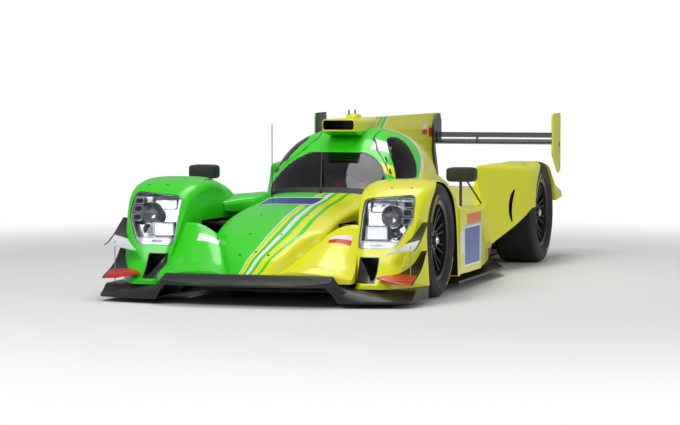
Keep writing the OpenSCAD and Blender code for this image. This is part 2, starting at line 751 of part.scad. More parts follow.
// SMALL BODY PIECES
module mirrors() {
    color(carbon) one_mesh() both_sides() {
        hull() {
            translate(place(762, 775, 655)) cube([184, 16, 92]);
            translate(place(800, 862, 672)) cube([110, 14, 60]);
        }
        difference() {
            union() {
                hull() {
                    translate(place(842, 800, 648)) cube([12, 40, 10]);
                    translate(place(836, 800, 470)) cube([12, 60, 10]);
                }
                bar(place(858, 866, 690), place(864, 1330, 496), 8);
            }
            loft(sidepod_rows, 1);
        }
    }
}
module tail_lamps() {
    color("red") both_sides() translate(place(770, 3625, 462)) cube([100, 12, 40]);
}
// Columns: d, inner x and z, outer x and z
upper_dive = [
    [-711, 880, 318, 946, 322], [-668, 765, 290, 947, 330], [-620, 800, 306, 947, 346],
    [-560, 850, 345, 947, 372], [-478, 880, 402, 947, 416], [-389, 900, 462, 947, 466]
];
lower_dive = [
    [-747, 860, 132, 946, 129], [-724, 722, 160, 947, 140], [-640, 780, 176, 947, 166],
    [-540, 850, 218, 947, 208], [-423, 900, 296, 947, 302]
];
dive_t = 5;
function dive_section(r) = [[r[1], r[2]], [r[3], r[4]], [r[3], r[4] + dive_t], [r[1], r[2] + dive_t]];
module dive_planes() {
    color("white") one_mesh() both_sides() difference() {
        union() {
            for (t = [upper_dive, lower_dive]) skin([for (r = t) r[0]], [for (r = t) dive_section(r)]);
            bar(place(905, -640, 60), place(905, -640, 345), 3);
        }
        fender_form();
        translate([800, fa - 700, 0]) cube([200, 120, 97 + seat_gap]);
    }
}
module antennas() {
    rod = [-306, 550];
    color(carbon) one_mesh() {
        difference() {
            union() {
                bar(place(rod[0], rod[1], 540), place(rod[0], rod[1], 1015), 3.5);
                translate(place(rod[0], rod[1], 540)) cylinder(h = 50, r = 9, $fn = 16);
            }
            loft(both(nose_rows), 1);
        }
        difference() {
            for (s = [[-14, 1290], [16, 1330]])
                translate(place(s[0], s[1], 1040)) cylinder(h = 58, r = 5, $fn = 16);
            loft(both(pod_rows), 1);
            loft(both(intake_rows), 2);
        }
    }
}
module wiper() {
    foot = place(0, 596, straight_at(nose_rows, 605, 5)) + [0, 0, seat_gap];
    color(carbon) {
        translate(foot) cylinder(h = 30, r = 9);
        bar(foot + [0, 0, 24], place(0, 930, 826), 5);
    }
}

// CABIN FITTINGS
module seat() {
    color(carbon) one_mesh() hull() {
        translate([-180, car_y(900), tub_floor]) cube([360, 400, 30]);
        translate([-180, car_y(1300), tub_floor]) cube([360, 60, 560]);
    }
}
module dashboard() {
    color(carbon) one_mesh() {
        difference() {
            intersection() {
                tub_form(tub_wall);
                translate([-500, car_y(530), 400]) cube([1000, 90, 95]);
            }
            translate([-500, car_y(600), 380]) cube([1000, 90, 20]);
        }
        on_column() translate([0, 0, column_h]) cylinder(h = 14, r = 20, $fn = 16);
    }
}
// The wheel turns about its column, whose stub stands on the dashboard
wheel_tilt = 100;
column_d = 800;
column_at = place(0, column_d, 470);
column_h = (car_y(column_d) - car_y(620) - 4) / sin(wheel_tilt);
module on_column() { translate(column_at) rotate([wheel_tilt, 0, 0]) children(); }
module steering_wheel() {
    color(carbon) on_column() {
        difference() {
            cube([280, 180, 24], center = true);
            for (x = [-90, 90]) translate([x, 0, 0]) cube([50, 90, 40], center = true);
        }
        translate([0, 0, 12]) cylinder(h = column_h - 12, r = 16);
    }
}

// RUNNING GEAR
gearbox_half = 120;
engine_y = car_y(cabin_end);
module powertrain() {
    color("dimgray") {
        translate([-260, engine_y, floor_top]) cube([520, ra - 500 - engine_y, 400]);
        translate([-gearbox_half, ra - 500, 100]) cube([2 * gearbox_half, 780, 350]);
    }
}
hub_r = 38;
hub_depth = 70;
wheel_nut_r = 30;
module knuckle() {
    translate([0, fa, front_tyre_r]) {
        translate([kingpin_x - 30, -70, -145]) cube([60, 140, 134 + arm_top]);
        disc_x(kingpin_x, front_x + front_tyre_w / 2 - hub_depth, hub_r);
        translate([kingpin_x, 0, -183]) cylinder(h = arm_top + 210, r = 14);
        translate([kingpin_x - 25, -160, -60]) cube([50, 160, 24]);
    }
}
module arm_pair(x0, x1, z0, z1, spread, r) {
    for (s = [-1, 1]) bar([x0, s * spread, z0], [x1, s * 12, z1], r);
}
arm_top = 70;
module front_arms() {
    translate([0, fa, front_tyre_r]) {
        for (z = [-178, arm_top]) difference() {
            union() {
                translate([kingpin_x, 0, z]) cylinder(h = 22, r = 26);
                arm_pair(240, kingpin_x - 20, z + 11, z + 11, 155, 11);
            }
            translate([kingpin_x, 0, z - 5]) cylinder(h = 40, r = 14 + run_gap);
        }
    }
}
module front_suspension() {
    color("dimgray") difference() {
        both_sides() front_arms();
        translate([-257, fa - 400, 0]) cube([514, 800, 800]);
    }
    color("dimgray") both_sides() for (z = [162, front_tyre_r + arm_top]) for (y = [-175, 145]) {
        x = car_x(straight_at(tub_rows, y + 30, 1)) + seat_gap;
        translate([x, fa + y, z - 4]) cube([264 - x, 30, 30]);
    }
}
module rear_suspension() {
    color("dimgray") both_sides() translate([0, ra, rear_tyre_r]) {
        rear_upright();
        for (z = [-150, 100]) {
            arm_pair(gearbox_half + 10, rear_x - 105, z, z, 170, 12);
            for (y = [-185, 155]) translate([gearbox_half, y, z - 15]) cube([16, 30, 30]);
        }
        disc_x(gearbox_half, rear_x - 105, 22);
    }
}
module rear_upright() {
    translate([rear_x - 119, -70, -170]) cube([50, 140, 340]);
    disc_x(rear_x - 80, rear_x + rear_tyre_w / 2 - hub_depth, hub_r);
}

// WHEELS
module tyre(r, w) {
    rotate([0, 90, 0]) rotate_extrude() polygon(concat(
        [[rim_r, w / 2 - 34], [rim_r - 14, w / 2 - 34], [rim_r - 14, -w / 2 + 34], [rim_r, -w / 2 + 34]],
        [[rim_r + 14, -w / 2 + 10], [rim_r + 40, -w / 2], [r - 40, -w / 2 + 2], [r - 10, -w / 2 + 16],
         [r, -w / 2 + 34], [r, w / 2 - 34], [r - 10, w / 2 - 16], [r - 40, w / 2 - 2], [rim_r + 40, w / 2],
         [rim_r + 14, w / 2 - 10]]
    ));
}
// The barrel's lips grip the tyre; the spokes are dished and end in the hub
module rim(w) {
    barrel_r = rim_r - 14.3;
    rotate([0, 90, 0]) rotate_extrude() polygon([
        [barrel_r, -w / 2 + 20], [barrel_r, w / 2 - 20],
        [barrel_r - 16, w / 2 - 20], [barrel_r - 16, -w / 2 + 20]
    ]);
    rotate([0, 90, 0]) translate([0, 0, w / 2 - 90]) difference() {
        union() {
            cylinder(h = 40, r = 70);
            cylinder(h = 66, r = wheel_nut_r);
            for (k = [0:spokes - 1]) rotate(360 * k / spokes) translate([50, -10, 8])
                cube([barrel_r - 52, 20, 30]);
        }
        translate([0, 0, -1]) cylinder(h = 22, r = hub_r + run_gap);
    }
}
module front_wheel_tyre() { translate([front_x, fa, front_tyre_r]) tyre(front_tyre_r, front_tyre_w); }
module rear_wheel_tyre() { translate([rear_x, ra, rear_tyre_r]) tyre(rear_tyre_r, rear_tyre_w); }
module front_wheel_rim() { translate([front_x, fa, front_tyre_r]) rim(front_tyre_w); }
module rear_wheel_rim() { translate([rear_x, ra, rear_tyre_r]) rim(rear_tyre_w); }

front_splitter();
underfloor();
diffuser();
nose();
front_fenders();
monocoque();
canopy();
windscreen();
color(yellow) door();  // door_left
color(green) on_right() door();  // door_right
color([0.3, 0.3, 0.32, 0.5]) door_glass();  // door_glass_left
color([0.3, 0.3, 0.32, 0.5]) on_right() door_glass();  // door_glass_right
roof_intake();
engine_cover();
shark_fin();
sidepods();
rear_fenders();
side_ducts();
rear_wing();
wing_end_plates();
wing_pylons();
mirrors();
headlamps();
lamp_covers();
tail_lamps();
dive_planes();
powertrain();
seat();
dashboard();
steering_wheel();
front_suspension();
rear_suspension();
color("dimgray") knuckle();  // knuckle_left
color("dimgray") on_right() knuckle();  // knuckle_right
color("black") front_wheel_tyre();  // tyre_front_left
color("black") on_right() front_wheel_tyre();  // tyre_front_right
color("black") rear_wheel_tyre();  // tyre_rear_left
color("black") on_right() rear_wheel_tyre();  // tyre_rear_right
color("dimgray") front_wheel_rim();  // rim_front_left
color("dimgray") on_right() front_wheel_rim();  // rim_front_right
color("dimgray") rear_wheel_rim();  // rim_rear_left
color("dimgray") on_right() rear_wheel_rim();  // rim_rear_right
wiper();
antennas();
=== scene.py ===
import json
import math
import bmesh
import bpy
import numpy as np
from mathutils import Matrix, Vector
from mathutils.bvhtree import BVHTree

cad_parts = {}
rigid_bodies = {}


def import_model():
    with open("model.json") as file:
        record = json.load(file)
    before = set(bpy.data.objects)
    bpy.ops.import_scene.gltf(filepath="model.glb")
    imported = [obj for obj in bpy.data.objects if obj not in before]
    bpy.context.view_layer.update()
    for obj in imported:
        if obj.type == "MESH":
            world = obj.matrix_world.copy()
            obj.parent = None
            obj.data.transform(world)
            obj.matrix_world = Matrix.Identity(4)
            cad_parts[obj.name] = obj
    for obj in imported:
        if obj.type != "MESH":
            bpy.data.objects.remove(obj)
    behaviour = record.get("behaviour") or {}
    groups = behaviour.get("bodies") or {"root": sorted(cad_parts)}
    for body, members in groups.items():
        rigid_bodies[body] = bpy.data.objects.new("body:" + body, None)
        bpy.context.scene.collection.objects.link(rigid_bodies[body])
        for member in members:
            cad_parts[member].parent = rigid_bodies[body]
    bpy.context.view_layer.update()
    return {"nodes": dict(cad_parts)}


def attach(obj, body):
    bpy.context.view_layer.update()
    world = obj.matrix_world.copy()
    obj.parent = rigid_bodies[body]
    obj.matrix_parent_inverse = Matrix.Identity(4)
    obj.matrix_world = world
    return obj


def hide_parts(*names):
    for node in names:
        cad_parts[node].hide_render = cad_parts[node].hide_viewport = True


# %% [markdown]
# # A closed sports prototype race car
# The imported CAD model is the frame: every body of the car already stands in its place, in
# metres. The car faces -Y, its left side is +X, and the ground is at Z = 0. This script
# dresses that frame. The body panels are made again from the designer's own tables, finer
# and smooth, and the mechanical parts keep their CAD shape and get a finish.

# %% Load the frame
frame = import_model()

cad = frame["nodes"]

# %% [markdown]
# ## The workbench
# Panels of a race car are laid up over forms and then trimmed to each other. Blender can do
# the same: closed solids are made from rings of points, and the Boolean modifier with its
# Manifold solver trims them. It is quick and keeps a solid closed. The solids lie in a
# collection of their own, the bench, which is emptied at the end.

# %% Bench helpers
MM = 0.001
bench = bpy.data.collections.new("bench")
bpy.context.scene.collection.children.link(bench)


def solid(name, points, faces):
    """A closed solid from points in millimetres, with its faces turned outwards."""
    mesh = bpy.data.meshes.new(name)
    mesh.from_pydata((np.array(points, float) * MM).tolist(), [], faces)
    bm = bmesh.new()
    bm.from_mesh(mesh)
    bmesh.ops.recalc_face_normals(bm, faces=bm.faces)
    bm.to_mesh(mesh)
    bm.free()
    made = bpy.data.objects.new(name, mesh)
    bench.objects.link(made)
    return made


def skin(name, rings):
    """A solid over closed rings of points, with a flat cap at each end."""
    n, last = len(rings[0]), len(rings) - 1
    faces = [[i * n + j, i * n + (j + 1) % n, (i + 1) * n + (j + 1) % n, (i + 1) * n + j]
             for i in range(last) for j in range(n)]
    faces += [list(range(n)), [last * n + j for j in range(n - 1, -1, -1)]]
    return solid(name, np.concatenate([np.array(r, float) for r in rings]), faces)


def prism(outline, low, high, along):
    """An outline pushed along one axis. It is (y, z) along x, (x, z) along y, (x, y) along z."""
    order = {"x": lambda p, t: (t, p[0], p[1]), "y": lambda p, t: (p[0], t, p[1]),
             "z": lambda p, t: (p[0], p[1], t)}[along]
    return skin("prism", [[order(p, t) for p in outline] for t in (low, high)])


def block(low, high):
    (x0, y0, z0), (x1, y1, z1) = low, high
    return prism([(x0, y0), (x1, y0), (x1, y1), (x0, y1)], z0, z1, "z")


def disc(x0, x1, y, z, r, sides=96):
    turns = [2 * math.pi * (k + 0.5) / sides for k in range(sides)]
    return prism([(y + r * math.cos(a), z + r * math.sin(a)) for a in turns], x0, x1, "x")


def rod(a, b, r, sides=16):
    a, b = Vector(a), Vector(b)
    turn = (b - a).to_track_quat("Z", "Y")
    ring = [turn @ Vector((r * math.cos(t), r * math.sin(t), 0))
            for t in np.linspace(0, 2 * math.pi, sides, endpoint=False)]
    return skin("rod", [[tuple(p + c) for c in ring] for p in (a, b)])


def turned(name, profile, centre, sides=96):
    """A shape turned about the X axis: the profile gives (radius, x) all the way round."""
    rings = []
    for t in np.linspace(0, 2 * math.pi, sides, endpoint=False):
        rings.append([(centre[0] + x, centre[1] + r * math.cos(t), centre[2] + r * math.sin(t))
                      for r, x in profile])
    n, m = len(profile), len(rings)
    faces = [[i * n + j, i * n + (j + 1) % n, (i + 1) % m * n + (j + 1) % n, (i + 1) % m * n + j]
             for i in range(m) for j in range(n)]
    return solid(name, np.concatenate([np.array(r, float) for r in rings]), faces)


def settle(piece):
    """Turns a piece's modifiers into plain mesh."""
    view = bpy.context.evaluated_depsgraph_get()
    mesh = bpy.data.meshes.new_from_object(piece.evaluated_get(view))
    piece.modifiers.clear()
    piece.data = mesh
    return piece


def copy_of(piece):
    twin = piece.copy()
    twin.data = piece.data.copy()
    bench.objects.link(twin)
    return twin


def trim(base, add=(), cut=(), keep=()):
    """Joins solids to the base, cuts solids away, and keeps what lies in others."""
    made = copy_of(base)
    for operation, others in (("UNION", add), ("DIFFERENCE", cut), ("INTERSECT", keep)):
        for other in others:
            step = made.modifiers.new(operation, "BOOLEAN")
            step.operation, step.solver, step.object = operation, "MANIFOLD", other
    return settle(made)


def moved(piece, by):
    twin = copy_of(piece)
    twin.data.transform(Matrix.Translation(Vector(by) * MM))
    return twin


def mirrored(piece):
    twin = copy_of(piece)
    for vertex in twin.data.vertices:
        vertex.co.x = -vertex.co.x
    twin.data.flip_normals()
    return twin


def joined(name, *parts):
    """Several meshes as one piece."""
    bm = bmesh.new()
    for part in parts:
        bm.from_mesh(part.data)
    mesh = bpy.data.meshes.new(name)
    bm.to_mesh(mesh)
    bm.free()
    made = bpy.data.objects.new(name, mesh)
    bench.objects.link(made)
    return made


def pair(piece):
    return joined(piece.name, piece, mirrored(piece))


def softened(piece, width, segments=3, angle=30):
    """Rounds the sharp edges of a piece, as a mould's radius does."""
    step = piece.modifiers.new("radius", "BEVEL")
    step.width, step.segments, step.limit_method = width * MM, segments, "ANGLE"
    step.angle_limit = math.radians(angle)
    step.harden_normals = False
    return settle(piece)


print("bench ready")

# %% [markdown]
# ## The tables of the body
# A race car's skin is drawn as sections along its length. Each row below is one section,
# and d is its distance behind the front axle in millimetres. Between the rows every column
# runs on a smooth curve that never overshoots, so a few rows give a fair surface.

# %% Smooth tables
FRONT_AXLE, REAR_AXLE = -1372.5, 1632.5
HALF_WIDTH, FIN_TOP, TAIL = 947.5, 1045.0, 2372.5


def fair(table, d):
    """The row of a table at d, on a monotone cubic through its rows."""
    t = np.array(table, float)
    x = t[:, 0]
    rise = (t[1:] - t[:-1]) / (x[1:] - x[:-1])[:, None]
    slope = np.zeros_like(t)
    slope[0], slope[-1] = rise[0], rise[-1]
    a, b = rise[:-1], rise[1:]
    both = np.where(a * b > 0, a + b, 1)
    slope[1:-1] = np.where(a * b > 0, 2 * a * b / both, 0)
    i = int(np.clip(np.searchsorted(x, d, side="right") - 1, 0, len(t) - 2))
    h = x[i + 1] - x[i]
    s = (d - x[i]) / h
    row = (t[i] * (1 + 2 * s) * (1 - s) ** 2 + t[i + 1] * s * s * (3 - 2 * s)
           + slope[i] * h * s * (1 - s) ** 2 + slope[i + 1] * h * s * s * (s - 1))
    row[0] = d
    return row


def stations(table, gap):
    """Places along a table: each of its rows, and others between them about gap apart."""
    ds = []
    for a, b in zip(table[:-1], table[1:]):
        n = max(1, round((b[0] - a[0]) / gap))
        ds += [a[0] + (b[0] - a[0]) * k / n for k in range(n)]
    return ds + [table[-1][0]]


def arc(xc, xs, zs, zt, n, steps):
    turns = np.linspace(0, math.pi / 2, steps + 1)
    return [(xc + (xs - xc) * max(math.cos(a), 0) ** (2 / n), zs + (zt - zs) * math.sin(a) ** (2 / n))
            for a in turns]


def section(r, steps):
    """Along the bottom, up to the outer shoulder, over the crown and down to the inner one."""
    d, xib, xob, xi, xo, xc, zb, zs, zt, ni, no = r
    outer = arc(xc, xo, zs, zt, no, steps)
    inner = arc(xc, xi, zs, zt, ni, steps)[-2::-1]
    bottom = [(xib + (xob - xib) * k / 4, zb) for k in range(5)]
    return bottom + outer + inner


def loft(name, table, gap=14, steps=16):
    rings = []
    for d in stations(table, gap):
        rings.append([(x, FRONT_AXLE + d, z) for x, z in section(fair(table, d), steps)])
    return skin(name, rings)


def both_halves(table):
    """Rows of a body that is alike on both sides: d, half widths at foot and shoulder, foot,
    shoulder, top, n."""
    return [[r[0], -r[1], r[1], -r[2], r[2], 0, r[3], r[4], r[5], r[6], r[6]] for r in table]


def crowned(table):
    """Rows of a body whose crown is midway: d, xib, xob, xi, xo, foot, shoulder, top, n."""
    return [[r[0], r[1], r[2], r[3], r[4], (r[3] + r[4]) / 2, r[5], r[6], r[7], r[8], r[8]]
            for r in table]


def thinner(table, w):
    """The same body, smaller by w on each side but its ends, with a lower foot."""
    return [[r[0], r[1] + w, r[2] - w, r[3] + w, r[4] - w, r[5], r[6] - 40, r[7], r[8] - w, r[9], r[10]]
            for r in table]


def side_view(points):
    return [(FRONT_AXLE + d, z) for d, z in points]


# %% Front tables
FENDER_FOOT, FLOOR_TOP, CABIN_END, CABIN_N = 98, 61, 1680, 2.6
# Columns: d, half width at the foot, half width at the ridge, foot, ridge, crown, n
NOSE_ROWS = [
    [-863, 84, 80, 136, 143, 151, 2.2],
    [-846, 108, 104, 124, 152, 173, 2.5],
    [-818, 138, 128, 110, 170, 202, 3],
    [-778, 178, 148, 110, 206, 250, 4.5],
    [-677, 231, 197, 110, 272, 318, 5],
    [-572, 330, 243, 120, 328, 378, 4.5],
    [-507, 350, 278, 220, 346, 402, 3.8],
    [-422, 356, 338, 300, 372, 428, 3],
    [-300, 352, 346, 320, 405, 462, 3.2],
    [-218, 350, 346, 330, 425, 482, 3.5],
    [72, 352, 350, 340, 465, 524, 3.8],
    [362, 350, 346, 350, 495, 552, 3.8],
    [513, 346, 342, 360, 515, 574, 3.8],
    [640, 344, 340, 360, 530, 588, 3.8]
]
# Columns: d, inner x, outer x, underside, inner top, outer top, bulge between them
RAMP_ROWS = [
    [-863, 96, 245, 132, 140, 196, 10],
    [-852, 98, 308, 130, 146, 196, 16],
    [-827, 105, 470, 130, 152, 174, 44],
    [-777, 128, 590, 130, 172, 153, 62],
    [-727, 150, 590, 130, 194, 178, 55],
    [-650, 200, 580, 130, 238, 215, 50],
    [-577, 225, 566, 130, 272, 262, 50],
    [-507, 255, 558, 130, 308, 335, 42],
    [-457, 285, 552, 130, 334, 408, 34],
    [-424, 300, 548, 130, 350, 446, 34],
    [-412, 300, 548, 130, 346, 440, 34]
]
# Columns: d, xib, xob, xi, xo, foot, shoulder, top, n
SHOULDER_ROWS = crowned([
    [120, 476, 560, 476, 560, 490, 520, 545, 3],
    [220, 420, 560, 410, 560, 480, 535, 562, 3],
    [330, 330, 560, 330, 560, 470, 545, 574, 3],
    [400, 320, 560, 320, 560, 470, 548, 582, 3],
    [520, 320, 480, 320, 480, 470, 540, 586, 3],
    [640, 320, 430, 320, 430, 470, 530, 588, 3]
])
# Columns: d, xib, xob, xi, xo, xc, foot, shoulder, top, n inside, n outside
FENDER_ROWS = [
    [-725, 620, 745, 640, 735, 690, FENDER_FOOT, 110, 122, 2.5, 2.5],
    [-690, 585, 790, 600, 780, 690, FENDER_FOOT, 118, 150, 3, 3],
    [-640, 572, 830, 580, 822, 700, FENDER_FOOT, 130, 200, 3, 3],
    [-590, 566, 862, 570, 850, 705, FENDER_FOOT, 200, 285, 3.5, 3.5],
    [-540, 560, 888, 562, 872, 710, FENDER_FOOT, 300, 380, 4, 4],
    [-480, 548, 910, 548, 892, 715, FENDER_FOOT, 400, 485, 4, 4],
    [-420, 534, 926, 534, 905, 725, FENDER_FOOT, 480, 580, 4, 4],
    [-350, 520, 944, 520, 918, 730, FENDER_FOOT, 540, 640, 4, 4],
    [-220, 504, 947.5, 504, 932, 730, FENDER_FOOT, 590, 682, 4, 4],
    [-60, 494, 947.5, 494, 940, 730, FENDER_FOOT, 600, 703, 4, 4],
    [60, 488, 947.5, 488, 942, 720, FENDER_FOOT, 600, 703, 3.2, 4],
    [200, 484, 947.5, 484, 942, 690, FENDER_FOOT, 540, 688, 2.6, 4],
    [300, 476, 947.5, 476, 940, 660, FENDER_FOOT, 500, 664, 2.5, 4],
    [380, 474, 947.5, 474, 936, 650, FENDER_FOOT, 470, 634, 2.5, 4],
    [400, 474, 947.5, 474, 936, 650, FENDER_FOOT, 465, 600, 2.5, 3]
]
# Columns: d, xib, xob, xi, xo, foot, shoulder, top, n
SIDEPOD_ROWS = crowned([
    [401, 450, 947.5, 450, 947.5, 108, 470, 545, 3.5],
    [530, 450, 947.5, 450, 947.5, 106, 464, 538, 3.5],
    [580, 450, 947.5, 450, 947.5, 105, 440, 508, 5],
    [945, 450, 947.5, 450, 947.5, 105, 440, 503, 5],
    [1060, 450, 930, 450, 936, 108, 438, 501, 5],
    [1320, 450, 895, 450, 898, 112, 430, 499, 4],
    [1560, 450, 858, 450, 842, 122, 420, 497, 4],
    [1822, 450, 822, 450, 796, 180, 410, 494, 4]
])
# Columns: d, xib, xob, xi, xo, xc, foot, shoulder, top, n inside, n outside
REAR_FENDER_ROWS = [
    [1824, 700, 812, 702, 717, 709, 194, 640, 698, 2.5, 2.5],
    [1846, 696, 813, 698, 728, 712, 198, 650, 716, 2.5, 2.5],
    [1900, 688, 816, 690, 748, 722, 204, 650, 719, 2.5, 2.5],
    [2000, 668, 824, 672, 778, 738, 222, 650, 721, 2.5, 2.5],
    [2150, 640, 842, 642, 820, 758, 252, 650, 722, 2.5, 2.5],
    [2300, 612, 872, 612, 866, 775, 292, 640, 721, 2.6, 2.6],
    [2450, 600, 912, 600, 905, 785, 352, 625, 717, 2.8, 2.8],
    [2570, 598, 942, 598, 932, 790, 405, 600, 710, 3, 3],
    [2680, 598, 947.5, 596, 940, 790, 410, 590, 706, 3.4, 3.4],
    [2825, 598, 947.5, 594, 942, 790, 410, 610, 711, 4, 4],
    [3005, 598, 947.5, 594, 944, 790, 410, 630, 713, 4, 4],
    [3165, 598, 947.5, 594, 942, 790, 410, 600, 700, 4, 4],
    [3335, 598, 947.5, 596, 938, 790, 420, 510, 640, 3, 3],
    [3485, 598, 944, 598, 935, 780, 430, 460, 558, 3, 3],
    [3625, 598, 942, 600, 935, 770, 440, 455, 512, 3, 3]
]
# Columns: d, half width at the foot and the shoulder, foot, shoulder, top, n
TUB_ROWS = [
    [-330, 190, 190, FLOOR_TOP, 380, 410, 4],
    [150, 250, 250, FLOOR_TOP, 470, 500, 4],
    [340, 300, 300, FLOOR_TOP, 480, 505, 4],
    [620, 400, 400, FLOOR_TOP, 485, 506, 4],
    [800, 440, 440, FLOOR_TOP, 485, 506, 4],
    [CABIN_END, 440, 440, FLOOR_TOP, 485, 506, 4]
]
# Columns: d, half width at the foot and the shoulder, foot, shoulder, top, n
CABIN_ROWS = [
    [617, 290, 296, 520, 572, 583, CABIN_N],
    [650, 325, 332, 515, 573, 606, CABIN_N],
    [722, 368, 370, 508, 578, 655, CABIN_N],
    [783, 398, 400, 508, 586, 697, CABIN_N],
    [865, 428, 430, 508, 596, 754, CABIN_N],
    [962, 446, 447, 508, 600, 816, CABIN_N],
    [1073, 458, 458, 508, 600, 882, CABIN_N],
    [1173, 468, 468, 508, 600, 930, CABIN_N],
    [1273, 474, 474, 508, 600, 962, CABIN_N],
    [1373, 474, 474, 508, 600, 976, CABIN_N],
    [1500, 466, 466, 508, 600, 979, 2.5],
    [1680, 446, 446, 508, 600, 976, 2.4]
]
# Columns: as the cabin
COVER_ROWS = [
    [CABIN_END, 446, 446, 485, 600, 976, 2.4],
    [2005, 404, 398, 495, 590, 918, 2.3],
    [2355, 330, 322, 505, 560, 816, 2.2],
    [2705, 262, 250, 512, 540, 720, 2],
    [3105, 190, 176, 515, 535, 640, 2],
    [3565, 122, 110, 460, 480, 565, 2]
]
# Columns: as the cabin
REAR_DECK_ROWS = [
    [CABIN_END, 700, 700, 474, 484, 493, 4],
    [1822, 716, 716, 478, 488, 498, 4],
    [2000, 690, 690, 484, 494, 504, 4],
    [2305, 622, 622, 494, 506, 516, 4],
    [3005, 594, 594, 508, 520, 530, 4],
    [3625, 597, 597, 448, 460, 470, 4]
]
# Columns: as the cabin
INTAKE_ROWS = [
    [990, 96, 112, 905, 1018, 1043, 4],
    [1200, 100, 116, 905, 1020, 1044, 4],
    [1450, 72, 96, 930, 1010, 1044, 3],
    [1750, 30, 50, 920, 1005, 1043, 3],
    [1850, 18, 26, 900, 995, 1041, 3]
]
# Columns: as the cabin
POD_ROWS = [
    [1262, 20, 22, 1030, 1050, 1056, 3],
    [1310, 34, 38, 1030, 1056, 1071, 3],
    [1400, 30, 34, 1030, 1054, 1069, 3],
    [1500, 12, 16, 1030, 1040, 1047, 3]
]
# Columns: as the side pod
DUCT_ROWS = crowned([
    [CABIN_END, 450, 800, 450, 800, FLOOR_TOP, 250, 300, 4],
    [2005, 450, 760, 450, 740, FLOOR_TOP, 260, 330, 4],
    [2365, 450, 660, 450, 640, FLOOR_TOP, 300, 380, 4],
    [2605, 450, 600, 450, 596, FLOOR_TOP, 340, 400, 4]
])
# Columns: d, edge x, two knees x, underside and top at the edge, top at the outer knee and in the middle
SPLITTER_ROWS = [
    [-1000, 30, 8, 16, 118, 126, 127, 128],
    [-988, 300, 270, 285, 118, 127, 129, 132],
    [-940, 500, 470, 485, 118, 127, 132, 142],
    [-914, 560, 500, 552, 32, 44, 52, 148],
    [-905, 600, 505, 562, 28, 40, 60, 152],
    [-866, 762, 505, 580, 28, 40, 84, 180],
    [-852, 812, 505, 590, 28, 40, 90, 129],
    [-815, 925, 505, 600, 28, 40, 97, 129],
    [-760, 947.5, 505, 600, 28, 46, 97, 129],
    [-660, 947.5, 505, 600, 28, 97, 97, 129],
    [-380, 947.5, 505, 600, 28, 97, 97, 129]
]
# Columns: d, inner x and z, outer x and z
UPPER_DIVE = [
    [-711, 880, 318, 946, 322], [-668, 765, 290, 947, 330], [-620, 800, 306, 947, 346],
    [-560, 850, 345, 947, 372], [-478, 880, 402, 947, 416], [-389, 900, 462, 947, 466]
]
# Columns: the same
LOWER_DIVE = [
    [-747, 860, 132, 946, 129], [-724, 722, 160, 947, 140], [-640, 780, 176, 947, 166],
    [-540, 850, 218, 947, 208], [-423, 900, 296, 947, 302]
]
DOOR_OUTLINE = [
    [812, 600], [892, 716], [1042, 838], [1172, 915], [1230, 945], [1290, 1000], [1425, 1000],
    [1432, 700], [1412, 520], [972, 520], [902, 540]
]
DOOR_WINDOW = [
    [868, 661], [925, 716], [967, 751], [1024, 800], [1082, 842], [1150, 884], [1205, 911], [1262, 924],
    [1316, 918], [1318, 894], [1290, 855], [1258, 812], [1236, 743], [1208, 690], [1180, 664]
]
SCREEN_OUTLINE = [
    [600, 560], [690, 577], [733, 592], [938, 772], [976, 806], [1000, 829], [600, 829]
]
LAMP_OUTLINE = [
    [566, 318], [562, 594], [600, 608], [850, 628], [872, 606], [880, 488], [812, 352], [786, 322]
]
DUCT_OUTLINE = [[592, 270], [706, 272], [702, 150], [686, 140]]
print("tables ready")

# %% [markdown]
# ## Forms
# The forms are the solids that the panels are trimmed from. They aren't shown themselves.

# %% Body forms
nose_form = loft("nose_form", both_halves(NOSE_ROWS))
fender_form = loft("fender_form", FENDER_ROWS)
cabin_form = loft("cabin_form", both_halves(CABIN_ROWS))
cover_form = loft("cover_form", both_halves(COVER_ROWS), gap=20)
deck_form = loft("deck_form", both_halves(REAR_DECK_ROWS), gap=40, steps=10)
pod_form = loft("pod_form", SIDEPOD_ROWS, gap=30)
rear_form = loft("rear_form", REAR_FENDER_ROWS)
tub_form = loft("tub_form", both_halves(TUB_ROWS), gap=400, steps=5)
shoulder_form = loft("shoulder_form", SHOULDER_ROWS, gap=20)
ramp_form = skin("ramp_form", [
    [(r[1], FRONT_AXLE + d, r[3]), (r[2], FRONT_AXLE + d, r[3])]
    + [(r[1] + (r[2] - r[1]) * s, FRONT_AXLE + d, r[4] + (r[5] - r[4]) * s + r[6] * 4 * s * (1 - s))
       for s in np.linspace(1, 0, 25)]
    for d in stations(RAMP_ROWS, 10) for r in [fair(RAMP_ROWS, d)]])


def splitter_ring(r):
    half = [(r[1], r[4]), (r[1], r[5]), (r[3], r[6]), (r[2], r[7])]
    low = [(-r[1], r[4]), (-r[3] + 4, r[4]), (-r[2], 117), (r[2], 117), (r[3] - 4, r[4])]
    return [(x, FRONT_AXLE + r[0], z) for x, z in low + half + [(-x, z) for x, z in half[:0:-1]]]


splitter_form = skin("splitter_form", [splitter_ring(fair(SPLITTER_ROWS, d))
                                       for d in stations(SPLITTER_ROWS, 12)])


def cabin_room(w):
    """The room inside the cabin, w from its skin and from its two ends."""
    inner = loft("room", thinner(both_halves(CABIN_ROWS), w))
    y0, y1 = FRONT_AXLE + 617 + w, FRONT_AXLE + CABIN_END - w
    return trim(inner, cut=[block((-600, y0 - 400, 400), (600, y0, 1100)),
                            block((-600, y1, 400), (600, y1 + 300, 1100))])


SHELL, GLASS, GAP, SEAT = 22, 7, 6, 0.3
shell_room, glass_room = cabin_room(SHELL), cabin_room(GLASS)

# %% Wheel rooms
KINGPIN_X, WELL_X, WELL_R, REAR_WELL_R = 690.5, HALF_WIDTH - 415, 350, 360
FRONT_R, REAR_R = 340, 350


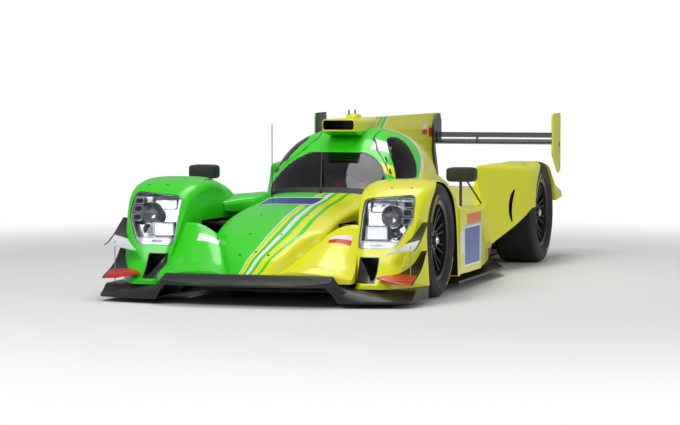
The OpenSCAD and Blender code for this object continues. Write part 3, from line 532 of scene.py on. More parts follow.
def room_to(end_x, reach):
    y, z = FRONT_AXLE, FRONT_R
    parts = [disc(WELL_X, end_x, y + s, z, WELL_R) for s in {-reach, reach}]
    if reach:
        parts.append(block((WELL_X, y - reach, z), (end_x, y + reach, z + WELL_R)))
    parts.append(block((WELL_X, y - WELL_R - reach, -20), (end_x, y + WELL_R + reach, z)))
    return trim(parts[0], add=parts[1:])


front_well = trim(room_to(HALF_WIDTH + 40, 0), add=[
    room_to(HALF_WIDTH - 66, 45), room_to(HALF_WIDTH - 54, 30), room_to(HALF_WIDTH - 44, 12),
    block((WELL_X - 90, FRONT_AXLE - 230, 150), (WELL_X + 20, FRONT_AXLE + 230, 450))])
rear_x = HALF_WIDTH - 336
rear_well = trim(disc(rear_x, HALF_WIDTH + 40, REAR_AXLE, REAR_R, REAR_WELL_R), add=[
    block((rear_x, REAR_AXLE - REAR_WELL_R, -20), (HALF_WIDTH + 40, REAR_AXLE + REAR_WELL_R, REAR_R)),
    block((rear_x - 72, REAR_AXLE - 250, 150), (rear_x + 28, REAR_AXLE + 250, 530))])
front_well_r, rear_well_r = mirrored(front_well), mirrored(rear_well)
print("wheel rooms ready")


# %% Outline tools
def rounded(points, radius, steps=6):
    """An outline with its corners rounded by a curve that starts radius from each."""
    made = []
    n = len(points)
    for i in range(n):
        a, b, c = (np.array(points[(i + k) % n], float) for k in (-1, 0, 1))
        u, v = a - b, c - b
        ru = min(radius, np.linalg.norm(u) * 0.45)
        rv = min(radius, np.linalg.norm(v) * 0.45)
        p, q = b + u / np.linalg.norm(u) * ru, b + v / np.linalg.norm(v) * rv
        for s in np.linspace(0, 1, steps):
            made.append(tuple(p * (1 - s) ** 2 + b * 2 * s * (1 - s) + q * s * s))
    return made


def grown(points, by):
    """An outline moved outwards by so many millimetres."""
    p = np.array(points, float)
    before, after = p - np.roll(p, 1, 0), np.roll(p, -1, 0) - p
    area = np.sum(p[:, 0] * np.roll(p[:, 1], -1) - np.roll(p[:, 0], -1) * p[:, 1])
    side = 1 if area > 0 else -1

    def normal(e):
        return side * np.stack([e[:, 1], -e[:, 0]], 1) / np.maximum(np.linalg.norm(e, axis=1), 1e-9)[:, None]

    m = normal(before) + normal(after)
    m /= np.maximum(np.linalg.norm(m, axis=1), 1e-9)[:, None]
    reach = by / np.maximum(np.sum(m * normal(before), axis=1), 0.4)
    return [tuple(v) for v in p + m * reach[:, None]]


# %% [markdown]
# ## Paint and other finishes
# Each finish is a node tree on Object coordinates, so it bakes and it stays with its piece.
# The paint is a clear-coated colour. Its stripes are marks: a mark is a colour and a list
# of ranges, and it shows where every range holds. A range is on x, y or z, or on a number
# that the piece carries at its points, such as the distance across a bundle of stripes.

# %% Finishes
GREEN, YELLOW, WHITE = (0.035, 0.66, 0.010), (0.80, 0.80, 0.012), (0.82, 0.84, 0.84)
RED, BLUE, BLACK = (0.60, 0.012, 0.010), (0.012, 0.07, 0.36), (0.012, 0.012, 0.014)
NAVY_PLATE, SKY = (0.010, 0.045, 0.30), (0.22, 0.60, 0.78)


def finish(name, colour, rough=0.4, marks=(), grain=0.05, grain_size=0.05, bump=0.03, bump_size=0.004,
           rough_spread=0.08, weave=0.0, **sockets):
    """A finish whose colour, gloss and surface all vary a little."""
    made = bpy.data.materials.new(name)
    made.use_nodes = True
    made.diffuse_color = (*colour, 1)
    tree = made.node_tree
    shader = tree.nodes["Principled BSDF"]
    for socket, value in sockets.items():
        shader.inputs[socket.replace("_", " ")].default_value = value
    place = tree.nodes.new("ShaderNodeTexCoord").outputs["Object"]

    def node(kind, **settings):
        it = tree.nodes.new("ShaderNode" + kind)
        for key, value in settings.items():
            setattr(it, key, value)
        return it

    def noise(size, detail=3.0):
        it = node("TexNoise")
        it.inputs["Scale"].default_value = 1 / size
        it.inputs["Detail"].default_value = detail
        tree.links.new(place, it.inputs["Vector"])
        return it.outputs["Fac"]

    def mix(fac, a, b):
        it = node("Mix", data_type="RGBA")
        for value, socket in ((fac, 0), (a, 6), (b, 7)):
            if isinstance(value, bpy.types.NodeSocket):
                tree.links.new(value, it.inputs[socket])
            else:
                it.inputs[socket].default_value = value if socket == 0 else (*value, 1)
        return it.outputs[2]

    apart = node("SeparateXYZ")
    tree.links.new(place, apart.inputs[0])
    base = colour
    for mark, ranges in marks:
        mask = None
        for source, low, high in ranges:
            if source in "xyz":
                value = apart.outputs["xyz".index(source)]
            else:
                value = node("Attribute", attribute_name=source).outputs["Fac"]
            test = node("Math", operation="COMPARE")
            tree.links.new(value, test.inputs[0])
            test.inputs[1].default_value = (low + high) / 2
            test.inputs[2].default_value = (high - low) / 2
            if mask is not None:
                product = node("Math", operation="MULTIPLY")
                tree.links.new(mask, product.inputs[0])
                tree.links.new(test.outputs[0], product.inputs[1])
                test = product
            mask = test.outputs[0]
        base = mix(mask, base, mark)
    darker = node("MapRange")
    tree.links.new(noise(grain_size), darker.inputs[0])
    darker.inputs[1].default_value, darker.inputs[2].default_value = 0.3, 0.7
    darker.inputs[3].default_value, darker.inputs[4].default_value = 0.0, grain * 2
    base = mix(darker.outputs[0], base, tuple(c * 0.5 for c in colour) if not marks else (0.02, 0.02, 0.02))
    if weave:
        cells = node("TexChecker")
        cells.inputs["Scale"].default_value = 1 / 0.006
        tree.links.new(place, cells.inputs["Vector"])
        base = mix(cells.outputs["Fac"], base, tuple(min(1, c * (1 + weave) + 0.004 * weave) for c in colour))
    tree.links.new(base, shader.inputs["Base Color"])
    gloss = node("MapRange")
    tree.links.new(noise(grain_size * 0.4), gloss.inputs[0])
    gloss.inputs[3].default_value = max(0.0, rough - rough_spread)
    gloss.inputs[4].default_value = rough + rough_spread
    tree.links.new(gloss.outputs[0], shader.inputs["Roughness"])
    relief = node("Bump")
    relief.inputs["Strength"].default_value = bump
    relief.inputs["Distance"].default_value = 0.001
    tree.links.new(noise(bump_size), relief.inputs["Height"])
    tree.links.new(relief.outputs[0], shader.inputs["Normal"])
    return made


def paint(name, colour, marks=()):
    return finish(name, colour, rough=0.30, marks=[*marks, (BLACK, [("depth", 0.0016, 1)])], grain=0.012,
                  grain_size=0.3, bump=0.02, bump_size=0.15, rough_spread=0.04, Coat_Weight=0.35, Coat_Roughness=0.06,
                  Specular_IOR_Level=0.3)


CARBON = finish("satin_carbon", (0.011, 0.011, 0.012), rough=0.42, grain=0.1, weave=0.8, Coat_Weight=0.15,
                Specular_IOR_Level=0.3)
DARK_CARBON = finish("dark_carbon", (0.012, 0.012, 0.013), rough=0.5, grain=0.1, weave=0.6)
MATTE_BLACK = finish("matte_black", (0.008, 0.008, 0.009), rough=0.5, bump=0.1, bump_size=0.02,
                     Specular_IOR_Level=0.35)
STEEL = finish("black_steel", (0.03, 0.03, 0.032), rough=0.42, Metallic=0.4)
ALLOY = finish("machined_alloy", (0.42, 0.42, 0.43), rough=0.34, Metallic=1.0, bump=0.05)
BRIGHT = finish("bright_metal", (0.80, 0.81, 0.83), rough=0.14, rough_spread=0.05, Metallic=1.0)
CAST = finish("cast_engine", (0.10, 0.10, 0.105), rough=0.6, bump=0.25, bump_size=0.005, Metallic=0.6)
print("finishes:", len(bpy.data.materials))


# %% Showing a finished piece
def show(piece, name, body, surface, replaces=(), angle=32):
    """Names a finished piece, shades it, and lets it ride on its body."""
    piece.name = piece.data.name = name
    piece.data.materials.clear()
    piece.data.materials.append(surface)
    piece.data.shade_smooth()
    piece.data.set_sharp_from_angle(angle=math.radians(angle))
    bench.objects.unlink(piece)
    bpy.context.scene.collection.objects.link(piece)
    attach(piece, body)
    if replaces:
        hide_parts(*([replaces] if isinstance(replaces, str) else replaces))
    faces = sum(len(f.vertices) - 2 for f in piece.data.polygons)
    print(f"{name}: {faces} triangles on {body}")
    return piece


def carry(names, surface):
    """CAD nodes that stay as they are and get a finish."""
    for name in names:
        node = cad[name]
        node.data.materials.clear()
        node.data.materials.append(surface)


def measure(piece, name, rule):
    """Gives a piece a number at each of its points, worked out in millimetres."""
    number = piece.data.attributes.new(name, "FLOAT", "POINT")
    co = np.empty(len(piece.data.vertices) * 3)
    piece.data.vertices.foreach_get("co", co)
    x, y, z = (co.reshape(-1, 3) / MM).T
    number.data.foreach_set("value", np.asarray(rule(x, y, z), float))

# %% [markdown]
# ## Nose
# The nose is one big moulding: a long tongue, a ramp on each side that rises to a crest, and
# a shoulder to the cockpit. The forms are joined, and the fenders, the wheel rooms, the tub
# and the splitter are trimmed out of them. A bundle of stripes runs over it along a curve,
# so each point carries its distance across the bundle.

# %% Depth under the skin
def depth_under(piece, *forms):
    """Gives a panel its depth under the outer forms at each point: its inner faces stay bare carbon."""
    trees = []
    for form in forms:
        bm = bmesh.new()
        bm.from_mesh(form.data)
        trees.append(BVHTree.FromBMesh(bm))
        bm.free()
    number = piece.data.attributes.new("depth", "FLOAT", "POINT")
    number.data.foreach_set("value", [min(tree.find_nearest(v.co)[3] for tree in trees)
                                      for v in piece.data.vertices])


# %% Nose
def along_bundle(y, column):
    table = np.array([(-2240, -34, .6), (-2202, -10, .66), (-2165, 10, .7), (-2115, 31, .74),
                      (-2052, 56, .8), (-1990, 79, .9), (-1927, 96, 1), (-1865, 102, 1), (-1640, 105, 1),
                      (-1500, 104, 1), (-1365, 95, 1), (-1240, 86, 1), (-1000, 78, 1), (-700, 74, 1)])
    return np.interp(y, table[:, 0], table[:, column])


def across_bundle(x, y, z):
    return (x - along_bundle(y, 1)) / along_bundle(y, 2) * MM


ramp_r, shoulder_r = mirrored(ramp_form), mirrored(shoulder_form)
fender_form_r = mirrored(fender_form)
arm_rooms = [block((s * 350 - 150, FRONT_AXLE - 190, z), (s * 350 + 150, FRONT_AXLE + 190, z + 34))
             for s in (-1, 1) for z in (156, 404)]
nose = trim(nose_form, add=[ramp_form, ramp_r, shoulder_form, shoulder_r], cut=[
    fender_form, fender_form_r, front_well, front_well_r, tub_form, cabin_form, splitter_form,
    block((-440, FRONT_AXLE + 614, 500), (440, FRONT_AXLE + 674, 700)), *arm_rooms,
    block((-600, FRONT_AXLE - 860, -10), (600, FRONT_AXLE + 540, 130))])
measure(nose, "bundle", across_bundle)
depth_under(nose, nose_form, ramp_form, ramp_r, shoulder_form, shoulder_r)
NOSE_PAINT = paint("nose_paint", GREEN, [
    (WHITE, [("bundle", -0.082, -0.072)]), (YELLOW, [("bundle", -0.065, -0.040)]),
    (WHITE, [("bundle", -0.015, 0.015)]), (YELLOW, [("bundle", 0.045, 0.092)]),
    (YELLOW, [("bundle", 0.120, 3.0)]),
    (WHITE, [("x", -0.30, 0.085), ("y", -1.205, -0.925)]),
    (NAVY_PLATE, [("x", -0.286, 0.071), ("y", -1.188, -0.942)]),
    (WHITE, [("x", -0.432, -0.300), ("y", -1.903, -1.850)]),
    (WHITE, [("x", 0.378, 0.515), ("y", -1.872, -1.850)]),
    (RED, [("x", 0.378, 0.515), ("y", -1.900, -1.872)])])
nose = show(nose, "nose_skin", "chassis", NOSE_PAINT, "nose", angle=38)

# %% [markdown]
# ## Front fenders
# A fender is a tall pod over its wheel. The wheel room, the lamp room and the air duct are
# trimmed from its form, as they are in the moulding. Left is yellow and right is green.

# %% Front fenders and lamp rooms
LAMP_CORNERS = rounded(LAMP_OUTLINE, 26)


def lamp_room(by, y0, back):
    """The lamp's room, grown by so much, from y0 to its back, which leans back with height."""
    wide = prism(grown(LAMP_CORNERS, by), y0, FRONT_AXLE, "y")
    return trim(wide, keep=[prism([(y0, 200), (FRONT_AXLE - 468 + back, 200),
                                   (FRONT_AXLE - 340 + back, 660), (y0, 660)], 500, HALF_WIDTH, "x")])


duct = prism(rounded(DUCT_OUTLINE, 12), FRONT_AXLE - 760, FRONT_AXLE - 470, "y")
fender = trim(fender_form, cut=[front_well, lamp_room(0, FRONT_AXLE - 700, 0), duct])
depth_under(fender, fender_form)
fenders = pair(fender)
FENDER_PAINT = paint("fender_paint", YELLOW, [
    (GREEN, [("x", -2.0, 0.0)]),
    (BLACK, [("x", 0.588, 0.709), ("y", -2.10, -1.84), ("z", 0.13, 0.2745)]),
    (BLACK, [("x", -0.709, -0.588), ("y", -2.10, -1.84), ("z", 0.13, 0.2745)])])
fenders = show(fenders, "front_fender_skins", "chassis", FENDER_PAINT, "front_fenders", 36)

# %% [markdown]
# ## Headlamps
# Each lamp is a unit behind a clear cover: a pale bezel that follows the skin, a dark
# mirror-like bowl, a big round lamp, a square lamp that shines white, and an outer column of
# three small boxes. The pieces stand on the back wall of the lamp room.

# %% Headlamps
def lamp_back(z):
    """The y of the lamp room's back at a height."""
    return FRONT_AXLE - 468 + 128 * (z - 200) / 460


def ring(outer, inner, y0, y1):
    return trim(prism(outer, y0, y1, "y"), cut=[prism(inner, y0 - 5, y1 + 5, "y")])


def bezel_rows(low, width):
    """The bezel's inner edge: wide along its lower lip, narrow above."""
    made = grown(LAMP_CORNERS, -width)
    return [(x, max(z, low)) for x, z in made]


under_skin, deeper = moved(fender_form, (0, 12, -4)), moved(fender_form, (0, 34, -8))
bezel = trim(ring(grown(LAMP_CORNERS, -1.5), bezel_rows(362, 11), FRONT_AXLE - 700, FRONT_AXLE - 300),
             keep=[under_skin], cut=[deeper])
lip_slot = prism(rounded([(640, 336), (708, 336), (708, 346), (640, 346)], 5), FRONT_AXLE - 700,
                 FRONT_AXLE - 300, "y")
bezel = softened(trim(bezel, cut=[lip_slot]), 2, 2)
wall = trim(lamp_room(-1.5, FRONT_AXLE - 600, -2), cut=[lamp_room(-4, FRONT_AXLE - 720, -14)],
            keep=[moved(fender_form, (0, 30, -8))])


def lamp_box(x0, x1, z0, z1, depth, rim=5):
    """A small open box with a rim, standing on the back wall."""
    y = lamp_back((z0 + z1) / 2)
    outer = prism(rounded([(x0, z0), (x1, z0), (x1, z1), (x0, z1)], 8), y - depth, y + 8, "y")
    inner = prism(rounded([(x0 + rim, z0 + rim), (x1 - rim, z0 + rim), (x1 - rim, z1 - rim),
                           (x0 + rim, z1 - rim)], 6), y - depth - 4, y - 10, "y")
    return trim(outer, cut=[inner])


def lens(x0, x1, z0, z1, depth, cells):
    """A pane pressed into small square cells."""
    y = lamp_back((z0 + z1) / 2) - depth
    nx, nz = cells
    points, faces = [], []
    for i in range(nx * 4 + 1):
        for k in range(nz * 4 + 1):
            swell = abs(math.sin(math.pi * i / 4) * math.sin(math.pi * k / 4)) * 4
            points.append((x0 + (x1 - x0) * i / nx / 4, y - swell, z0 + (z1 - z0) * k / nz / 4))
    rows = nz * 4 + 1
    faces = [[i * rows + k, (i + 1) * rows + k, (i + 1) * rows + k + 1, i * rows + k + 1]
             for i in range(nx * 4) for k in range(nz * 4)]
    pane = solid("lens", points, faces)
    step = pane.modifiers.new("thickness", "SOLIDIFY")
    step.thickness, step.offset = 0.004, 0
    return settle(pane)


def bowl(x, z, r, depth, reach):
    """A turned reflector that looks forwards, with a rim."""
    profile = [(r * t, depth * t ** 2) for t in np.linspace(0.02, 1, 12)]
    profile += [(r + 5, depth + 2), (r + 5, depth - 8)]
    profile += [(r * t * 0.98 + 2, depth * t ** 2 - 8) for t in np.linspace(1, 0.02, 12)]
    y = lamp_back(z) - reach
    rings = []
    for a in np.linspace(0, 2 * math.pi, 64, endpoint=False):
        rings.append([(x + p * math.cos(a), y - q, z + p * math.sin(a)) for p, q in profile])
    n, m = len(profile), len(rings)
    faces = [[i * n + j, i * n + (j + 1) % n, (i + 1) % m * n + (j + 1) % n, (i + 1) % m * n + j]
             for i in range(m) for j in range(n)]
    return solid("bowl", np.concatenate([np.array(q) for q in rings]), faces)


column = [lamp_box(804, 862, z, z + h, d) for z, h, d in ((452, 44, 62), (502, 44, 58), (552, 40, 50))]
square = lamp_box(592, 726, 366, 448, 66, rim=6)
upper = lamp_box(600, 756, 520, 600, 26, rim=6)
round_lamp = bowl(742, 500, 62, 34, 16)
small_lamp = bowl(764, 404, 28, 24, 18)
frames = joined("lamp_frames", bezel, square, *column)
mirrors_of_lamp = joined("lamp_bowls", wall, upper, round_lamp, small_lamp)
glow = joined("lamp_lenses", lens(600, 718, 373, 441, 44, (10, 6)))
FRAME_SILVER = finish("lamp_bezel", (0.50, 0.52, 0.55), rough=0.3, rough_spread=0.05, Metallic=0.3)
LAMP_MIRROR = finish("lamp_mirror", (0.36, 0.37, 0.39), rough=0.2, rough_spread=0.1, grain=0.35,
                     grain_size=0.03, bump=0.6, bump_size=0.02, Metallic=0.85)
LAMP_LENS = finish("lamp_lens", (0.92, 0.94, 0.97), rough=0.1, rough_spread=0.04, bump=0.1)
LAMP_LENS.node_tree.nodes["Principled BSDF"].inputs["Emission Color"].default_value = (1, 1, 1, 1)
LAMP_LENS.node_tree.nodes["Principled BSDF"].inputs["Emission Strength"].default_value = 0.55
show(pair(frames), "headlamp_frames", "chassis", FRAME_SILVER, "headlamps")
show(pair(mirrors_of_lamp), "headlamp_mirrors", "chassis", LAMP_MIRROR)
show(pair(glow), "headlamp_lenses", "chassis", LAMP_LENS)


def glass(name, tint, rough=0.02, clear=1.0, alpha=1.0):
    made = finish(name, tint, rough=rough, rough_spread=0.015, grain=0.01, bump=0.01, bump_size=0.05,
                  Transmission_Weight=clear, IOR=1.25)
    made.node_tree.nodes["Principled BSDF"].inputs["Alpha"].default_value = alpha
    return made


LAMP_COVER = glass("lamp_cover_clear", (0.93, 0.95, 0.97))
cover = trim(fender_form, keep=[lamp_room(-1, FRONT_AXLE - 700, -30)], cut=[moved(fender_form, (0, 7, -3))])
show(pair(cover), "headlamp_covers", "chassis", LAMP_COVER, "lamp_covers", 36)

# %% [markdown]
# ## Canopy, windscreen and doors
# The cabin is one shell, cut where the real one is: round the windscreen, and round each
# door, with a narrow gap. The bands of colour on the door and the pillar are slanted, so
# the pieces carry two slanted distances.

# %% Cabin
def slanted(piece):
    measure(piece, "back_band", lambda x, y, z: ((y + 160) * 0.6 - (z - 650) * 0.8) * MM)
    measure(piece, "pillar_band", lambda x, y, z: (y * 0.72 + z * 0.69) * MM)


def window(outline, by, low, high):
    return prism(grown(rounded(side_view(outline), 16), by), low, high, "x")


DOOR_TOP_X = 190


def door_room(by):
    return prism(grown(rounded(side_view(DOOR_OUTLINE), 12), by), DOOR_TOP_X - by, 700, "x")


shell = trim(cabin_form, cut=[shell_room])
pane_shell = trim(cabin_form, cut=[glass_room])
screen_room = prism(side_view(SCREEN_OUTLINE), -700, 700, "x")
screen_pane = prism(grown(side_view(SCREEN_OUTLINE), -SEAT), -700, 700, "x")
door_open = door_room(GAP)
glass_open = window(DOOR_WINDOW, 0, 100, 700)
lip_room = trim(glass_room, keep=[prism(grown(side_view(SCREEN_OUTLINE), 50), -700, 700, "x")])
canopy = trim(shell, cut=[screen_room, door_open, mirrored(door_open), lip_room])

hinge_a = Vector((434, FRONT_AXLE + 777, 627))
hinge_b = Vector((280, FRONT_AXLE + 1037, 867))


def hinge_half(a, b, reach):
    """A barrel on the door's hinge line, with a flat leaf that reaches to the skin."""
    at = [hinge_a.lerp(hinge_b, s) for s in (a, b)]
    barrel = rod(*at, 6, 24)
    bm = bmesh.new()
    for start in (rod(*at, 3.2, 10), rod(*[p + Vector(reach) for p in at], 4, 10)):
        bm.from_mesh(start.data)
    out = bmesh.ops.convex_hull(bm, input=bm.verts)
    bmesh.ops.delete(bm, geom=list({g for g in out["geom_interior"] + out["geom_unused"]
                                    if isinstance(g, bmesh.types.BMVert)}), context="VERTS")
    mesh = bpy.data.meshes.new("leaf")
    bm.to_mesh(mesh)
    bm.free()
    leaf = bpy.data.objects.new("leaf", mesh)
    bench.objects.link(leaf)
    return trim(barrel, add=[leaf])


HINGES = [(0.38, (-2, 32, -4)), (0.68, (8, 56, -6))]
brackets = [trim(hinge_half(s - 0.06, s, (-34, -24, -30)), cut=[shell_room, door_room(GAP - 1)])
            for s, _ in HINGES]
leaves = [trim(hinge_half(s + 0.001, s + 0.04, reach), cut=[shell_room]) for s, reach in HINGES]
BAND_MARKS = [(WHITE, [("back_band", 0.0, 0.055), ("x", 0.0, 2)]), (YELLOW, [("back_band", 0.055, 9), ("x", 0, 2)])]
PILLAR_MARKS = [(YELLOW, [("back_band", -3, -0.17), ("pillar_band", 0.109, 0.213), ("x", 0.2, 2)]),
                (WHITE, [("back_band", -3, -0.17), ("pillar_band", 0.344, 0.470), ("x", 0.2, 2)])]
CANOPY_PAINT = paint("canopy_paint", GREEN, BAND_MARKS + PILLAR_MARKS)
DOOR_PAINT = paint("door_paint", YELLOW, [
    (GREEN, [("x", -2, 0)]), (GREEN, [("back_band", -3, 0), ("z", 0.657, 2), ("x", 0, 2)]),
    (WHITE, [("back_band", 0.0, 0.055), ("z", 0.648, 2), ("x", 0, 2)]), *PILLAR_MARKS])
canopy = joined("canopy", canopy, *brackets, *[mirrored(b) for b in brackets])
slanted(canopy)
depth_under(canopy, cabin_form)
canopy = show(canopy, "canopy_skin", "chassis", CANOPY_PAINT, "canopy", 36)

door = trim(shell, keep=[door_room(0)], cut=[glass_open])
door = joined("door", door, *leaves)
door_pane = trim(pane_shell, keep=[window(DOOR_WINDOW, -SEAT, 100, 700)])
SCREEN = glass("screen_clear", (0.93, 0.95, 0.96))
TINTED = glass("door_tinted", (0.10, 0.10, 0.105))
for side, part, pane in (("left", door, door_pane), ("right", mirrored(door), mirrored(door_pane))):
    slanted(part)
    depth_under(part, cabin_form)
    show(part, f"door_skin_{side}", f"door_{side}", DOOR_PAINT,
         f"door_{side}", 36)
    show(pane, f"door_window_{side}", f"door_{side}", TINTED, f"door_glass_{side}", 36)
screen = trim(pane_shell, keep=[screen_pane])
cowl = trim(screen, keep=[block((-700, FRONT_AXLE + 500, 400), (700, FRONT_AXLE + 668, 1000))])
screen = trim(screen, cut=[block((-700, FRONT_AXLE + 500, 400), (700, FRONT_AXLE + 668, 1000))])
show(screen, "windscreen_pane", "chassis", SCREEN, "windscreen", 36)
show(cowl, "windscreen_foot_strip", "chassis", MATTE_BLACK)

# %% [markdown]
# ## Roof intake, engine cover and fin
# Behind the roof everything tapers to the tail: the intake with its camera pod, the teardrop
# engine cover with its flat decks, and a thin fin to the wing.

# %% Roof intake, engine cover and fin
intake_rows = [[990, 106, 108, 964, 1000, 1039, 5], [1000, 108, 112, 961, 1000, 1043, 5],
               [1200, 104, 116, 930, 1004, 1044, 4], [1450, 76, 96, 930, 1010, 1044, 3], *INTAKE_ROWS[3:]]
intake_form = loft("intake_form", both_halves(intake_rows), gap=20, steps=12)
camera_form = loft("camera_form", both_halves(POD_ROWS), gap=10, steps=10)
mouth = prism(rounded([(-101, 973), (101, 973), (104, 1003), (101, 1033), (-101, 1033), (-104, 1003)], 12),
              FRONT_AXLE + 980, FRONT_AXLE + 1230, "y")
intake = trim(intake_form, add=[camera_form], cut=[cabin_form, cover_form, mouth])
INTAKE_PAINT = paint("intake_paint", YELLOW, [
    (GREEN, [("z", 0.0, 0.962)]),
    (BLACK, [("x", -0.1046, 0.1046), ("y", -0.378, -0.13), ("z", 0.9725, 1.0336)])])
depth_under(intake, intake_form, camera_form)
show(intake, "roof_intake_skin", "chassis", INTAKE_PAINT, "roof_intake", 36)

cover_room = trim(loft("cover_room", thinner(both_halves(COVER_ROWS), SHELL), gap=20),
                  cut=[block((-600, FRONT_AXLE + 3505, 300), (600, FRONT_AXLE + 3705, 1000))])
rear_form_r, pod_form_r = mirrored(rear_form), mirrored(pod_form)
engine_cover = trim(trim(cover_form, add=[deck_form]), cut=[cover_room, rear_form, rear_form_r, pod_form, pod_form_r])
slanted(engine_cover)
depth_under(engine_cover, cover_form, deck_form)
COVER_PAINT = paint("cover_paint", GREEN, BAND_MARKS)
engine_cover = show(engine_cover, "engine_cover_skin", "chassis", COVER_PAINT, "engine_cover", 36)

WING_CHORD, FIN_T = 175, 14
WING_Y, WING_Z, WING_HALF = TAIL - WING_CHORD - 70, 836, HALF_WIDTH - 57
fin_outline = side_view([(1700, 880), (1760, 1041)]) + [
    (TAIL - 110, FIN_TOP), (TAIL - 84, FIN_TOP - 8), (TAIL - 84, WING_Z + 86), (WING_Y - 16, WING_Z + 86),
    (WING_Y - 30, WING_Z - 20)] + side_view([(3583, 560), (3560, 535), (2605, 535)])
fin = softened(prism(fin_outline, -FIN_T / 2, FIN_T / 2, "x"), 5, 3, 60)
fin = trim(fin, cut=[cover_form, cabin_form, deck_form, intake_form, camera_form])
measure(fin, "slant", lambda x, y, z: (y - 1.9 * (z - 1000)) * MM)
FIN_PAINT = paint("fin_paint", YELLOW, [
    (GREEN, [("slant", 0.555, 0.615)]), (GREEN, [("slant", 0.655, 0.735)]), (WHITE, [("slant", 0.735, 0.785)]),
    (GREEN, [("slant", -9, 0.50)]), (WHITE, [("y", 1.77, 1.91), ("z", 0.93, 0.968)]),
    (RED, [("y", 1.77, 1.91), ("z", 0.892, 0.93)]), (RED, [("y", 1.955, 2.07), ("z", 0.872, 0.94)])])
show(fin, "fin_skin", "chassis", FIN_PAINT, "shark_fin", 36)

# %% [markdown]
# ## Side pods and rear fenders
# The side pod is the flat flank behind the front wheel, with a blank number plate. The rear
# fender starts as a thin wall far inboard, sweeps outwards over the wheel, and has a
# crescent slot on its flank.

# %% Side pods and rear fenders
tub_skin = loft("tub_skin", thinner(both_halves(TUB_ROWS), -1), gap=400, steps=5)
cabin_skin = loft("cabin_skin", thinner(both_halves(CABIN_ROWS), -1))
pod = trim(pod_form, cut=[tub_skin, shoulder_form, cabin_skin])
POD_PAINT = paint("pod_paint", YELLOW, [
    (GREEN, [("x", -2, 0)]),
    (WHITE, [("x", 0.93, 1), ("y", -0.958, -0.872), ("z", 0.238, 0.368)]),
    (SKY, [("x", 0.93, 1), ("y", -0.872, -0.400), ("z", 0.145, 0.400)]),
    (WHITE, [("x", 0.93, 1), ("y", -0.862, -0.425), ("z", 0.143, 0.392)]),
    (BLUE, [("x", 0.93, 1), ("y", -0.845, -0.442), ("z", 0.155, 0.380)]),
    ((0.80, 0.16, 0.01), [("x", 0.90, 1), ("y", -0.792, -0.400), ("z", 0.402, 0.466)]),
    (RED, [("y", 0.20, 0.46), ("z", 0, 0.185)]), (WHITE, [("y", 0.20, 0.46), ("z", 0.185, 0.197)])])
show(pair(pod), "side_pod_skins", "chassis", POD_PAINT, "sidepods", 36)

crescent = prism(rounded(side_view([
    (2325, 548), (2285, 538), (2245, 500), (2218, 435), (2222, 375), (2252, 328), (2280, 316),
    (2268, 380), (2276, 440), (2300, 500)]), 30), HALF_WIDTH - 130, HALF_WIDTH + 10, "x")
rear_fender = trim(rear_form, cut=[rear_well, pod_form, crescent])
depth_under(rear_fender, rear_form)
REAR_PAINT = paint("rear_fender_paint", YELLOW, [(GREEN, [("x", -2, 0)])])
rear_fenders = show(pair(rear_fender), "rear_fender_skins", "chassis", REAR_PAINT,
                    "rear_fenders", 36)

# %% [markdown]
# ## Splitter, dive planes and wing
# These are carbon wings that work close to the ground and in the clear air behind. Each is
# lofted finely from the same rows, and the wing from the same curve, as the source's.

# %% Splitter and dive planes
splitter = trim(splitter_form, cut=[fender_form, fender_form_r, front_well, front_well_r,
                                    block((-300, FRONT_AXLE - 440, 100), (300, FRONT_AXLE - 340, 200))])
show(splitter, "splitter_blade", "chassis", CARBON, "front_splitter", 30)


def dive_ring(r):
    return [(x, FRONT_AXLE + r[0], z) for x, z in ((r[1], r[2]), (r[3], r[4]), (r[3], r[4] + 5), (r[1], r[2] + 5))]


def dive(rows):
    return skin("dive", [dive_ring(fair(rows, d)) for d in stations(rows, 8)])


DIVE_STAY = rod((905, FRONT_AXLE - 640, 60), (905, FRONT_AXLE - 640, 345), 3, 16)
floor_slot = block((800, FRONT_AXLE - 700, 0), (1000, FRONT_AXLE - 580, 97.3))
for name, rows, tint, black_from in (("upper", UPPER_DIVE, (0.66, 0.68, 0.70), -1.93),
                                     ("lower", LOWER_DIVE, RED, -2.00)):
    blade = trim(dive(rows), cut=[fender_form, floor_slot])
    tone = paint(f"{name}_dive_paint", tint, [(BLACK, [("x", 0.938, 1)]), (BLACK, [("x", -1, -0.938)]),
                                              (BLACK, [("y", black_from, -1.5)])])
    show(pair(blade), f"{name}_dive_planes", "chassis", tone, "dive_planes")
show(pair(trim(DIVE_STAY, cut=[floor_slot])), "dive_plane_stays", "chassis", ALLOY)


# %% Rear wing
def wing_curve(chord, thick, camber, y, z, turn, steps=40):
    points = []
    for sign, order in ((1, range(steps + 1)), (-1, range(steps - 1, 0, -1))):
        for k in order:
            u = (1 - math.cos(math.pi * k / steps)) / 2
            points.append((u * chord, -camber * 4 * u * (1 - u) + sign * thick * 1.1 * math.sqrt(u) * (1 - u)))
    c, s = math.cos(math.radians(turn)), math.sin(math.radians(turn))
    return [(y + p * c - q * s, z + p * s + q * c) for p, q in points]


